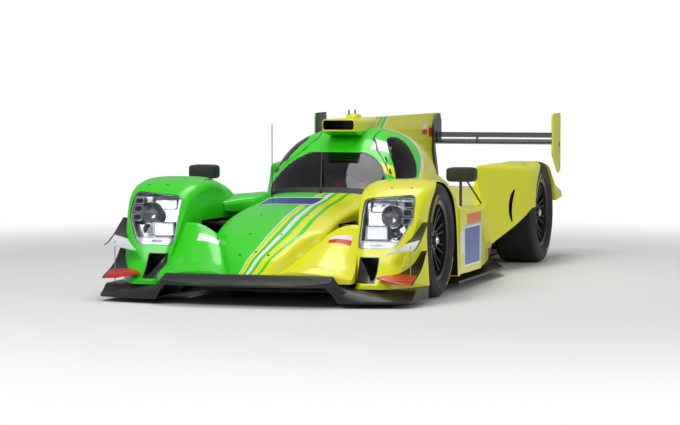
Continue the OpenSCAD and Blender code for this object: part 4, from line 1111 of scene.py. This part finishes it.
main_plane = prism(wing_curve(WING_CHORD, 30, 14, WING_Y, WING_Z, 5), -WING_HALF, WING_HALF, "x")
flap = prism(wing_curve(88, 15, 6, WING_Y + WING_CHORD - 18, WING_Z + 30, 22), -WING_HALF, WING_HALF, "x")
brackets_of_wing = [prism([(WING_Y + WING_CHORD - 60, WING_Z + 8), (WING_Y + WING_CHORD - 20, WING_Z + 5),
                           (WING_Y + WING_CHORD + 10, WING_Z + 46), (WING_Y + WING_CHORD - 10, WING_Z + 42)],
                          x, x + 10, "x") for x in (-WING_HALF, -300, 290, WING_HALF - 10)]
wing = trim(main_plane, add=[flap, *brackets_of_wing])
WING_BLACK = finish("wing_black", (0.016, 0.016, 0.018), rough=0.3, weave=0.6, Coat_Weight=0.5)
show(wing, "rear_wing_planes", "chassis", WING_BLACK, "rear_wing", 30)
y0 = TAIL - 282
plate = prism(rounded([(y0, FIN_TOP - 24), (y0 + 14, FIN_TOP - 3), (TAIL, FIN_TOP), (TAIL, 650),
                       (TAIL - 26, 612), (TAIL - 74, 608), (y0, 746)], 14), WING_HALF + SEAT, WING_HALF + 12, "x")
plate = softened(plate, 2.5, 3, 50)
inner = WING_HALF * MM + 0.003
PLATE_PAINT = paint("end_plate_paint", YELLOW, [
    (GREEN, [("x", -2, 0)]), (BLACK, [("x", -inner, inner)]),
    (BLACK, [("x", inner, 2), ("y", 2.30, 2.345), ("z", 0.80, 0.835)])])
show(pair(plate), "wing_end_plate_skins", "chassis", PLATE_PAINT, "wing_end_plates", 36)
carry(["wing_pylons"], WING_BLACK)

# %% [markdown]
# ## Wheels
# A slick tyre is a turned shape, and so is the rim's barrel. The spokes repeat round the
# hub, so Geometry Nodes lays them out: it takes one spoke, copies it round a circle, and
# makes the copies real. The tyre carries its radius and its turn at each point, and the
# yellow arcs on its flank are drawn from these.

# %% Tyres
TYRE_RUBBER = finish("tyre_rubber", (0.011, 0.011, 0.012), rough=0.6, grain=0.25, grain_size=0.02,
                     bump=0.2, bump_size=0.0015,
                     marks=[((0.75, 0.62, 0.01), [("radius", 0.287, 0.299), ("turn", a, b), ("flank", 0.5, 1.5)])
                            for a, b in ((-1.15, -0.35), (2.0, 2.8))])
RIM_R = 236.0
WHEELS = {f"{e}_{s}": (k * (785.5 if e == "front" else 780.5), FRONT_AXLE if e == "front" else REAR_AXLE,
                       FRONT_R if e == "front" else REAR_R, 300 if e == "front" else 310, k)
          for e in ("front", "rear") for s, k in (("left", 1), ("right", -1))}


def tyre_profile(r, w):
    """Half of the section from the bead over the flank and shoulder, then its mirror image."""
    half = [(RIM_R - 13, w / 2 - 36), (RIM_R, w / 2 - 34), (RIM_R + 3, w / 2 - 20), (RIM_R + 12, w / 2 - 11),
            (RIM_R + 14, w / 2 - 9), (RIM_R + 17, w / 2 - 10), (RIM_R + 26, w / 2 - 4.5), (RIM_R + 40, w / 2 - 1),
            (RIM_R + 58, w / 2), (r - 56, w / 2 - 0.5), (r - 38, w / 2 - 3), (r - 22, w / 2 - 9),
            (r - 11, w / 2 - 17), (r - 4, w / 2 - 27), (r - 1, w / 2 - 38), (r, w / 2 - 56), (r, w / 2 - 66),
            (r - 2, w / 2 - 67), (r - 2, w / 2 - 69), (r, w / 2 - 70)]
    return half + [(p, -x) for p, x in half[::-1]]


for name, (x, y, z, w, k) in WHEELS.items():
    tyre = turned("tyre", tyre_profile(z, w), (x, y, z), 128)
    measure(tyre, "radius", lambda px, py, pz: np.hypot(py - y, pz - z) * MM)
    measure(tyre, "turn", lambda px, py, pz: np.arctan2(py - y, pz - z))
    measure(tyre, "flank", lambda px, py, pz: (k * (px - x) > 60).astype(float))
    show(tyre, f"tyre_{name}_slick", f"wheel_{name}", TYRE_RUBBER, f"tyre_{name}", 40)

# %% [markdown]
# ## Spokes by Geometry Nodes
# The group has a part to copy, a count, a centre and a material. A Points node puts as
# many points as the count at the centre, the part is turned about the X axis by each point's
# share of a full turn, and the group ends in Realize Instances and Set Material.

# %% Spoke layout
def around_tree():
    tree = bpy.data.node_groups.new("around_an_axle", "GeometryNodeTree")
    face = tree.interface
    face.new_socket("Geometry", in_out="INPUT", socket_type="NodeSocketGeometry")
    face.new_socket("Part", in_out="INPUT", socket_type="NodeSocketObject")
    count = face.new_socket("Count", in_out="INPUT", socket_type="NodeSocketInt")
    count.default_value = 10
    centre = face.new_socket("Centre", in_out="INPUT", socket_type="NodeSocketVector")
    surface = face.new_socket("Surface", in_out="INPUT", socket_type="NodeSocketMaterial")
    face.new_socket("Geometry", in_out="OUTPUT", socket_type="NodeSocketGeometry")
    new, link = tree.nodes.new, tree.links.new
    given, result = new("NodeGroupInput"), new("NodeGroupOutput")
    points = new("GeometryNodePoints")
    link(given.outputs["Count"], points.inputs["Count"])
    link(given.outputs["Centre"], points.inputs["Position"])
    part = new("GeometryNodeObjectInfo")
    link(given.outputs["Part"], part.inputs["Object"])
    index, divide, times = new("GeometryNodeInputIndex"), new("ShaderNodeMath"), new("ShaderNodeMath")
    divide.operation, times.operation = "DIVIDE", "MULTIPLY"
    link(index.outputs[0], divide.inputs[0])
    link(given.outputs["Count"], divide.inputs[1])
    link(divide.outputs[0], times.inputs[0])
    times.inputs[1].default_value = 2 * math.pi
    angle = new("ShaderNodeCombineXYZ")
    link(times.outputs[0], angle.inputs["X"])
    place = new("GeometryNodeInstanceOnPoints")
    link(points.outputs[0], place.inputs["Points"])
    link(part.outputs["Geometry"], place.inputs["Instance"])
    link(angle.outputs[0], place.inputs["Rotation"])
    real, coat = new("GeometryNodeRealizeInstances"), new("GeometryNodeSetMaterial")
    link(place.outputs[0], real.inputs[0])
    link(real.outputs[0], coat.inputs["Geometry"])
    link(given.outputs["Surface"], coat.inputs["Material"])
    link(coat.outputs[0], result.inputs[0])
    return tree


AROUND = around_tree()


def laid_out(tree, name, **inputs):
    """A plain mesh from a node group, with its named inputs set."""
    base = bpy.data.objects.new(name, bpy.data.meshes.new(name))
    bench.objects.link(base)
    step = base.modifiers.new("layout", "NODES")
    step.node_group = tree
    sockets = {s.name: s.identifier for s in tree.interface.items_tree if s.in_out == "INPUT"}
    for key, value in inputs.items():
        step[sockets[key]] = value
    return settle(base)


# %% Rims
RIM_BLACK = finish("rim_black", (0.020, 0.020, 0.022), rough=0.3, bump=0.05, Metallic=0.3, Coat_Weight=0.4)
RIM_EDGE = finish("rim_edge", (0.62, 0.63, 0.65), rough=0.22, Metallic=1.0)


def spoke(k, w):
    """A twin spoke from the hub to the barrel, dished, for a wheel whose face looks along k."""
    made = []
    for side in (-1, 1):
        rings = []
        for s in np.linspace(0, 1, 15):
            radius = 52 + (RIM_R - 19 - 52) * s
            half = 9 - 3.5 * math.sin(math.pi * s)
            out = w / 2 - 66 + 24 * s ** 2.2
            lean = side * (6 + 22 * s ** 1.4)
            rings.append([(k * (out - t), lean + h, radius) for t, h in
                          ((0, -half * 0.7), (3, -half), (24, -half), (26, -half * 0.7), (26, half * 0.7),
                           (24, half), (3, half), (0, half * 0.7))])
        made.append(skin("spoke", rings))
    return joined("spoke", *made)


for name, (x, y, z, w, k) in WHEELS.items():
    body = f"wheel_{name}"
    barrel = [(RIM_R - 14.4, -w / 2 + 22), (RIM_R - 14.4, w / 2 - 38), (RIM_R - 1, w / 2 - 34),
              (RIM_R + 9, w / 2 - 21), (RIM_R + 8, w / 2 - 16), (RIM_R - 2, w / 2 - 26),
              (RIM_R - 19, w / 2 - 30), (RIM_R - 21, w / 2 - 50), (RIM_R - 26, w / 2 - 90), (RIM_R - 26, -w / 2 + 22)]
    barrel = [(r, k * t) for r, t in barrel]
    hub = [(0.5, w / 2 - 66), (30, w / 2 - 66), (44, w / 2 - 60), (62, w / 2 - 62), (70, w / 2 - 70),
           (70, w / 2 - 88), (44, w / 2 - 90), (43.5, w / 2 - 71), (0.5, w / 2 - 69.5)]
    part = spoke(k, w)
    centre = Vector((x, y, z)) * MM
    spokes = laid_out(AROUND, "spokes", Part=part, Count=10, Centre=centre, Surface=RIM_BLACK)
    rim = joined("rim", turned("barrel", barrel, (x, y, z), 128),
                 turned("hub", [(r, k * t) for r, t in hub], (x, y, z), 64), spokes)
    show(rim, f"rim_{name}_spoked", body, RIM_BLACK, f"rim_{name}", 40)
    nut = turned("nut", [(0.5, k * (w / 2 - 26)), (19, k * (w / 2 - 26)), (22, k * (w / 2 - 30)),
                         (28, k * (w / 2 - 34)), (30, k * (w / 2 - 50)), (30, k * (w / 2 - 66)),
                         (0.5, k * (w / 2 - 66))], (x, y, z), 12)
    edge = turned("edge", [(RIM_R + 4, k * (w / 2 - 19)), (RIM_R + 8.6, k * (w / 2 - 15)),
                           (RIM_R + 10.4, k * (w / 2 - 17.5)), (RIM_R + 7, k * (w / 2 - 23))], (x, y, z), 128)
    bolts = [rod(*((x + k * (w / 2 - t), y + 56 * math.cos(a), z + 56 * math.sin(a)) for t in (63, 52)), 6, 12)
             for a in np.linspace(0, 2 * math.pi, 10, endpoint=False)]
    show(joined("nut", nut, edge, *bolts), f"rim_{name}_nut_and_edge", body, RIM_EDGE)

# %% [markdown]
# ## Small outer pieces
# Mirrors on thin stalks, one upright wiper, the radio rod and the tail lamps. The red vane
# at the lower end of each side pod is painted on the side pod.

# %% Mirrors, wiper, rods and lamps
def mirror_ring(d, x0, x1, z0, z1, n=40):
    cx, cz = (x0 + x1) / 2, (z0 + z1) / 2
    return [(cx + (x1 - x0) / 2 * np.sign(math.cos(a)) * abs(math.cos(a)) ** 0.36, FRONT_AXLE + d,
             cz + (z1 - z0) / 2 * np.sign(math.sin(a)) * abs(math.sin(a)) ** 0.36)
            for a in np.linspace(0, 2 * math.pi, n, endpoint=False)]


housing = skin("housing", [mirror_ring(*r) for r in (
    (775, 778, 930, 666, 738), (777, 770, 938, 660, 743), (781, 765, 943, 657, 746), (792, 763, 945, 656, 746),
    (830, 762, 946, 655, 747), (862, 762, 946, 655, 747), (876, 764, 944, 657, 745), (877, 769, 939, 661, 741),
    (868, 771, 937, 663, 739), (868, 850, 856, 700, 702))])
stalk = skin("stalk", [[(842 + t, FRONT_AXLE + 812 + 28 * s, z) for t, s in
                        ((0, 0), (4, -0.5), (8, -0.5), (12, 0), (12, 1), (8, 1.4), (4, 1.4), (0, 1))]
                       for z in (470, 540, 600, 656)])
strut = rod((858, FRONT_AXLE + 866, 690), (864, FRONT_AXLE + 1328, 496), 6, 20)
mirror = joined("mirror", housing, trim(stalk, cut=[pod_form]), trim(strut, cut=[pod_form]))
show(pair(mirror), "mirror_housings", "chassis", DARK_CARBON, "mirrors", 40)
looking = prism(rounded([(774, 667), (934, 667), (934, 736), (774, 736)], 18), FRONT_AXLE + 868.5,
                FRONT_AXLE + 872, "y")
MIRROR_FACE = finish("mirror_face", (0.85, 0.86, 0.88), rough=0.04, rough_spread=0.02, Metallic=1.0)
show(pair(softened(looking, 1, 2)), "mirror_faces", "chassis", MIRROR_FACE)

foot = (0, FRONT_AXLE + 596, cad["wiper"].bound_box[0][2] / MM + (cad["wiper"].location.z / MM))
foot_z = foot[2]
tip_x, y1, z1 = -92, FRONT_AXLE + 930, 822
boot = turned("boot", [(0.5, 0), (9, 0), (9, 14), (7, 20), (7, 26), (4, 30), (0.5, 30)], (0, 0, 0), 32)
for vertex in boot.data.vertices:
    x, y, z = vertex.co / MM
    vertex.co = Vector((y, FRONT_AXLE + 596 + z, foot_z + x)) * MM
arm = rod((0, FRONT_AXLE + 596, foot_z + 24), (tip_x, y1, z1), 4.5, 16)
blade = skin("blade", [[(x + tip_x * s, FRONT_AXLE + 596 + 334 * s, foot_z + 24 + (z1 - foot_z - 24) * s + h)
                        for x, h in ((-3, 4), (3, 4), (1.2, -4), (-1.2, -4))] for s in np.linspace(0.18, 1, 24)])
WIPER_BLACK = finish("wiper_black", (0.015, 0.015, 0.016), rough=0.5, bump=0.1)
show(joined("wiper", boot, arm, blade), "wiper_arm", "chassis", WIPER_BLACK, "wiper", 40)

rod_piece = joined("rod", rod((-306, FRONT_AXLE + 550, 560), (-306, FRONT_AXLE + 550, 1014), 2.6, 16),
                   rod((-306, FRONT_AXLE + 550, 548), (-306, FRONT_AXLE + 550, 596), 8, 32))
stubs = [softened(rod((x, FRONT_AXLE + d, 1042), (x, FRONT_AXLE + d, 1097), 5, 20), 1.5, 3)
         for x, d in ((-14, 1290), (16, 1330))]
aerials = joined("aerials", trim(rod_piece, cut=[nose_form]),
                 *[trim(s, cut=[camera_form, intake_form]) for s in stubs])
show(aerials, "aerial_rods", "chassis", MATTE_BLACK, "antennas", 40)

lamp = softened(block((770, FRONT_AXLE + 3625.5, 463), (869, FRONT_AXLE + 3636, 501)), 3, 3)
RED_LENS = finish("red_lens", (0.55, 0.006, 0.006), rough=0.15, rough_spread=0.05, bump=0.2, bump_size=0.006,
                  Coat_Weight=1.0)
show(pair(lamp), "tail_lamp_lenses", "chassis", RED_LENS, "tail_lamps", 40)

# %% [markdown]
# ## Cockpit
# Through the screen the seat with its belts, the dashboard and the cut-down steering wheel
# can be seen.

# %% Seat, dashboard and wheel
FLOOR = cad["seat"].bound_box[0][2] / MM + cad["seat"].location.z / MM
seat_side = rounded(side_view([(900, FLOOR), (1360, FLOOR), (1360, FLOOR + 560), (1300, FLOOR + 560),
                               (1180, FLOOR + 90), (1000, FLOOR + 60), (900, FLOOR + 60)]), 30)
seat = trim(prism(seat_side, -178, 178, "x"), add=[
    prism(rounded(side_view([(960, FLOOR + 2), (1358, FLOOR + 2), (1358, FLOOR + 440), (1240, FLOOR + 430),
                             (1120, FLOOR + 170), (960, FLOOR + 110)]), 40), s, s + 34, "x")
    for s in (-179, 145)])
seat = softened(seat, 9, 3, 40)
FABRIC = finish("seat_cloth", (0.045, 0.045, 0.05), rough=0.85, grain=0.2, grain_size=0.03, bump=0.4,
                bump_size=0.002)
show(seat, "seat_shell_padded", "chassis", FABRIC, "seat", 40)
straps = [prism(rounded([(s - 26, FLOOR + 250), (s + 26, FLOOR + 250), (s * 1.5 + 26, FLOOR + 520),
                         (s * 1.5 - 26, FLOOR + 520)], 6), 0, 4, "y") for s in (-55, 55)]
for strap in straps:
    for vertex in strap.data.vertices:
        x, y, z = vertex.co / MM
        up = (z - FLOOR - 90) / 470
        vertex.co.y = (FRONT_AXLE + 1180 + 120 * up - 4 + y) * MM
HARNESS = finish("harness_red", (0.35, 0.01, 0.01), rough=0.7, bump=0.3, bump_size=0.002)
show(joined("straps", *straps), "seat_harness", "chassis", HARNESS)

carry(["dashboard"], MATTE_BLACK)
column_at = Vector((0, FRONT_AXLE + 800, 470))
tilt = Matrix.Rotation(math.radians(100), 4, "X")


def on_column(piece):
    piece.data.transform(Matrix.Translation(column_at * MM) @ tilt)
    return piece


grip = softened(trim(block((-139, -89, -11), (139, 89, 11)), cut=[
    block((s * 90 - 25, -45, -30), (s * 90 + 25, 45, 30)) for s in (-1, 1)]), 7, 3)
stem = cad["steering_wheel"]
stem_h = (800 - 620 - 4) / math.sin(math.radians(100))
shaft = rod((0, 0, 10), (0, 0, stem_h - 0.5), 15.5, 32)
buttons = [rod((x, y, -14), (x, y, -10), 6, 16) for x in (-50, -25, 25, 50) for y in (-55, -25, 25, 55)]
show(on_column(joined("wheel", grip, shaft)), "steering_wheel_grip", "steering_wheel", MATTE_BLACK,
     "steering_wheel", 40)
BUTTONS = finish("button_orange", (0.75, 0.22, 0.02), rough=0.4, bump=0.05)
show(on_column(joined("buttons", *buttons)), "steering_wheel_buttons", "steering_wheel", BUTTONS)

# %% [markdown]
# ## Pieces that keep their CAD shape
# The tub, the floor, the ducts and the running gear are seen only in part. They keep their
# CAD meshes and get real finishes.

# %% Carried-over pieces
carry(["monocoque", "side_ducts"], DARK_CARBON)
carry(["underfloor", "diffuser"], CARBON)
carry(["powertrain"], CAST)
carry(["front_suspension", "rear_suspension"], STEEL)
carry(["knuckle_left", "knuckle_right"], ALLOY)

# %% [markdown]
# ## Fasteners
# The panels are held by small quick fasteners. Their places are listed points: a ray from
# above finds the skin, and Geometry Nodes puts one head on each place, turned to the skin's
# normal.

# %% Fasteners
def fastener_tree():
    tree = bpy.data.node_groups.new("heads_on_points", "GeometryNodeTree")
    face = tree.interface
    face.new_socket("Geometry", in_out="INPUT", socket_type="NodeSocketGeometry")
    sizes = face.new_socket("Radius", in_out="INPUT", socket_type="NodeSocketFloat")
    sizes.default_value = 0.007
    face.new_socket("Surface", in_out="INPUT", socket_type="NodeSocketMaterial")
    face.new_socket("Geometry", in_out="OUTPUT", socket_type="NodeSocketGeometry")
    new, link = tree.nodes.new, tree.links.new
    given, result = new("NodeGroupInput"), new("NodeGroupOutput")
    head = new("GeometryNodeMeshCylinder")
    head.inputs["Vertices"].default_value = 20
    head.inputs["Depth"].default_value = 0.0022
    link(given.outputs["Radius"], head.inputs["Radius"])
    normal = new("GeometryNodeInputNamedAttribute")
    normal.data_type = "FLOAT_VECTOR"
    normal.inputs["Name"].default_value = "outwards"
    turn = new("FunctionNodeAlignEulerToVector")
    turn.axis = "Z"
    link(normal.outputs["Attribute"], turn.inputs["Vector"])
    place = new("GeometryNodeInstanceOnPoints")
    link(given.outputs["Geometry"], place.inputs["Points"])
    link(head.outputs["Mesh"], place.inputs["Instance"])
    link(turn.outputs[0], place.inputs["Rotation"])
    real, coat = new("GeometryNodeRealizeInstances"), new("GeometryNodeSetMaterial")
    link(place.outputs[0], real.inputs[0])
    link(real.outputs[0], coat.inputs["Geometry"])
    link(given.outputs["Surface"], coat.inputs["Material"])
    link(coat.outputs[0], result.inputs[0])
    return tree


FASTENER_TREE = fastener_tree()


def on_skin(panel, points, look):
    """Where rays along look meet a panel: places and normals in metres."""
    found = []
    for point in points:
        start = Vector(point) * MM - Vector(look) * 3
        hit, place, normal, _ = panel.ray_cast(start, Vector(look))
        if hit:
            found.append((place, normal))
    return found


def fasteners(name, body, places, radius, surface):
    mesh = bpy.data.meshes.new(name)
    mesh.from_pydata([tuple(p) for p, _ in places], [], [])
    outwards = mesh.attributes.new("outwards", "FLOAT_VECTOR", "POINT")
    outwards.data.foreach_set("vector", [c for _, n in places for c in n])
    base = bpy.data.objects.new(name, mesh)
    bench.objects.link(base)
    step = base.modifiers.new("layout", "NODES")
    step.node_group = FASTENER_TREE
    sockets = {s.name: s.identifier for s in FASTENER_TREE.interface.items_tree if s.in_out == "INPUT"}
    step[sockets["Radius"]] = radius
    step[sockets["Surface"]] = surface
    made = settle(base)
    return show(made, name, body, surface)


down, inwards = (0, 0, -1), (-1, 0, 0)
nose_places = on_skin(nose, [(x, y, 0) for x, y in (
    (-94, -2105), (79, -2105), (-6, -2080), (-96, -1906), (97, -1906), (-250, -1240), (40, -1240), (-330, -880),
    (330, -880), (-250, -780), (250, -780), (-400, -1700), (400, -1700), (-140, -1560), (150, -1560))], down)
fender_places = on_skin(fenders, [(s * x, y, 0) for s in (-1, 1) for x, y in (
    (700, -1660), (820, -1660), (640, -1500), (860, -1400), (660, -1240), (860, -1180), (700, -1020), (840, -960))],
    down)
cover_places = on_skin(engine_cover, [(s * x, y, 0) for s in (-1, 1) for x, y in (
    (230, 100), (230, 420), (210, 760), (190, 1080), (150, 1400), (420, 700), (420, 1100), (420, 1500), (400, 1900))],
    down)
rear_places = on_skin(rear_fenders, [(s * x, y, 0) for s in (-1, 1) for x, y in (
    (700, 1300), (860, 1300), (700, 1560), (880, 1600), (720, 1900), (880, 1900), (720, 2100))], down)
SCREW = finish("screw_dark", (0.05, 0.05, 0.055), rough=0.35, Metallic=0.9, bump=0.2, bump_size=0.002)
fasteners("panel_fasteners", "chassis", nose_places + fender_places + cover_places + rear_places, 0.0075,
          SCREW)

# %% [markdown]
# ## Floor, light and camera
# The room is a plain pale studio: a near-white floor that fades to white with distance,
# soft lights from above, the front and the side, and the camera where the photographer was.

# %% Studio
floor_mesh = bpy.data.meshes.new("studio_floor")
floor_mesh.from_pydata([(-40, -40, 0), (40, -40, 0), (40, 60, 0), (-40, 60, 0)], [], [[0, 1, 2, 3]])
floor = bpy.data.objects.new("studio_floor", floor_mesh)
bpy.context.scene.collection.objects.link(floor)
pale = bpy.data.materials.new("studio_floor")
pale.use_nodes = True
tree = pale.node_tree
shader, out = tree.nodes["Principled BSDF"], tree.nodes["Material Output"]
shader.inputs["Base Color"].default_value = (0.80, 0.80, 0.80, 1)
shader.inputs["Roughness"].default_value = 0.6
shader.inputs["Specular IOR Level"].default_value = 0.2
place, far = tree.nodes.new("ShaderNodeTexCoord"), tree.nodes.new("ShaderNodeVectorMath")
far.operation = "LENGTH"
tree.links.new(place.outputs["Object"], far.inputs[0])
fade = tree.nodes.new("ShaderNodeMapRange")
fade.inputs["From Min"].default_value, fade.inputs["From Max"].default_value = 2.6, 7.0
fade.interpolation_type = "SMOOTHSTEP"
tree.links.new(far.outputs["Value"], fade.inputs["Value"])
seen, both = tree.nodes.new("ShaderNodeLightPath"), tree.nodes.new("ShaderNodeMath")
both.operation = "MULTIPLY"
tree.links.new(fade.outputs[0], both.inputs[0])
tree.links.new(seen.outputs["Is Camera Ray"], both.inputs[1])
white, blend = tree.nodes.new("ShaderNodeEmission"), tree.nodes.new("ShaderNodeMixShader")
tree.links.new(both.outputs[0], blend.inputs[0])
tree.links.new(shader.outputs[0], blend.inputs[1])
tree.links.new(white.outputs[0], blend.inputs[2])
tree.links.new(blend.outputs[0], out.inputs["Surface"])
floor_mesh.materials.append(pale)

world = bpy.data.worlds.new("studio")
bpy.context.scene.world = world
world.use_nodes = True
tree = world.node_tree
sky, plain = tree.nodes["Background"], tree.nodes.new("ShaderNodeBackground")
sky.inputs["Color"].default_value, sky.inputs["Strength"].default_value = (1, 1, 1, 1), 0.34
plain.inputs["Color"].default_value, plain.inputs["Strength"].default_value = (1, 1, 1, 1), 1.0
seen, blend = tree.nodes.new("ShaderNodeLightPath"), tree.nodes.new("ShaderNodeMixShader")
tree.links.new(seen.outputs["Is Camera Ray"], blend.inputs[0])
tree.links.new(sky.outputs[0], blend.inputs[1])
tree.links.new(plain.outputs[0], blend.inputs[2])
tree.links.new(blend.outputs[0], tree.nodes["World Output"].inputs["Surface"])


def area_light(name, at, towards, size, watts):
    lamp = bpy.data.lights.new(name, "AREA")
    lamp.shape, lamp.size, lamp.size_y, lamp.energy = "RECTANGLE", *size, watts
    light = bpy.data.objects.new(name, lamp)
    light.location = at
    light.rotation_euler = (Vector(towards) - Vector(at)).to_track_quat("-Z", "Y").to_euler()
    bpy.context.scene.collection.objects.link(light)


area_light("key", (-2.5, -8.0, 6.0), (0, -1.0, 0.4), (3.5, 3.5), 330)
area_light("overhead", (0, 0.5, 6), (0, 0.5, 0), (2.5, 6), 190)
area_light("side", (8.0, -2.0, 2.6), (0, 0, 0.4), (4, 2.5), 120)

camera = bpy.data.cameras.new("photo_view")
camera.lens, camera.sensor_width = 2578.3 / 680 * 36, 36
camera.clip_end = 200
viewer = bpy.data.objects.new("photo_view", camera)
viewer.location = (4.618, -16.289, 1.338)
viewer.rotation_euler = (math.radians(86.9), 0, math.radians(16.15))
bpy.context.scene.collection.objects.link(viewer)
bpy.context.scene.camera = viewer
bpy.context.scene.view_settings.view_transform = "Standard"

# %% [markdown]
# ## Clear the bench
# The forms aren't part of the car, so they go.

# %% Finish
for left in list(bench.objects):
    bpy.data.objects.remove(left)
bpy.data.collections.remove(bench)
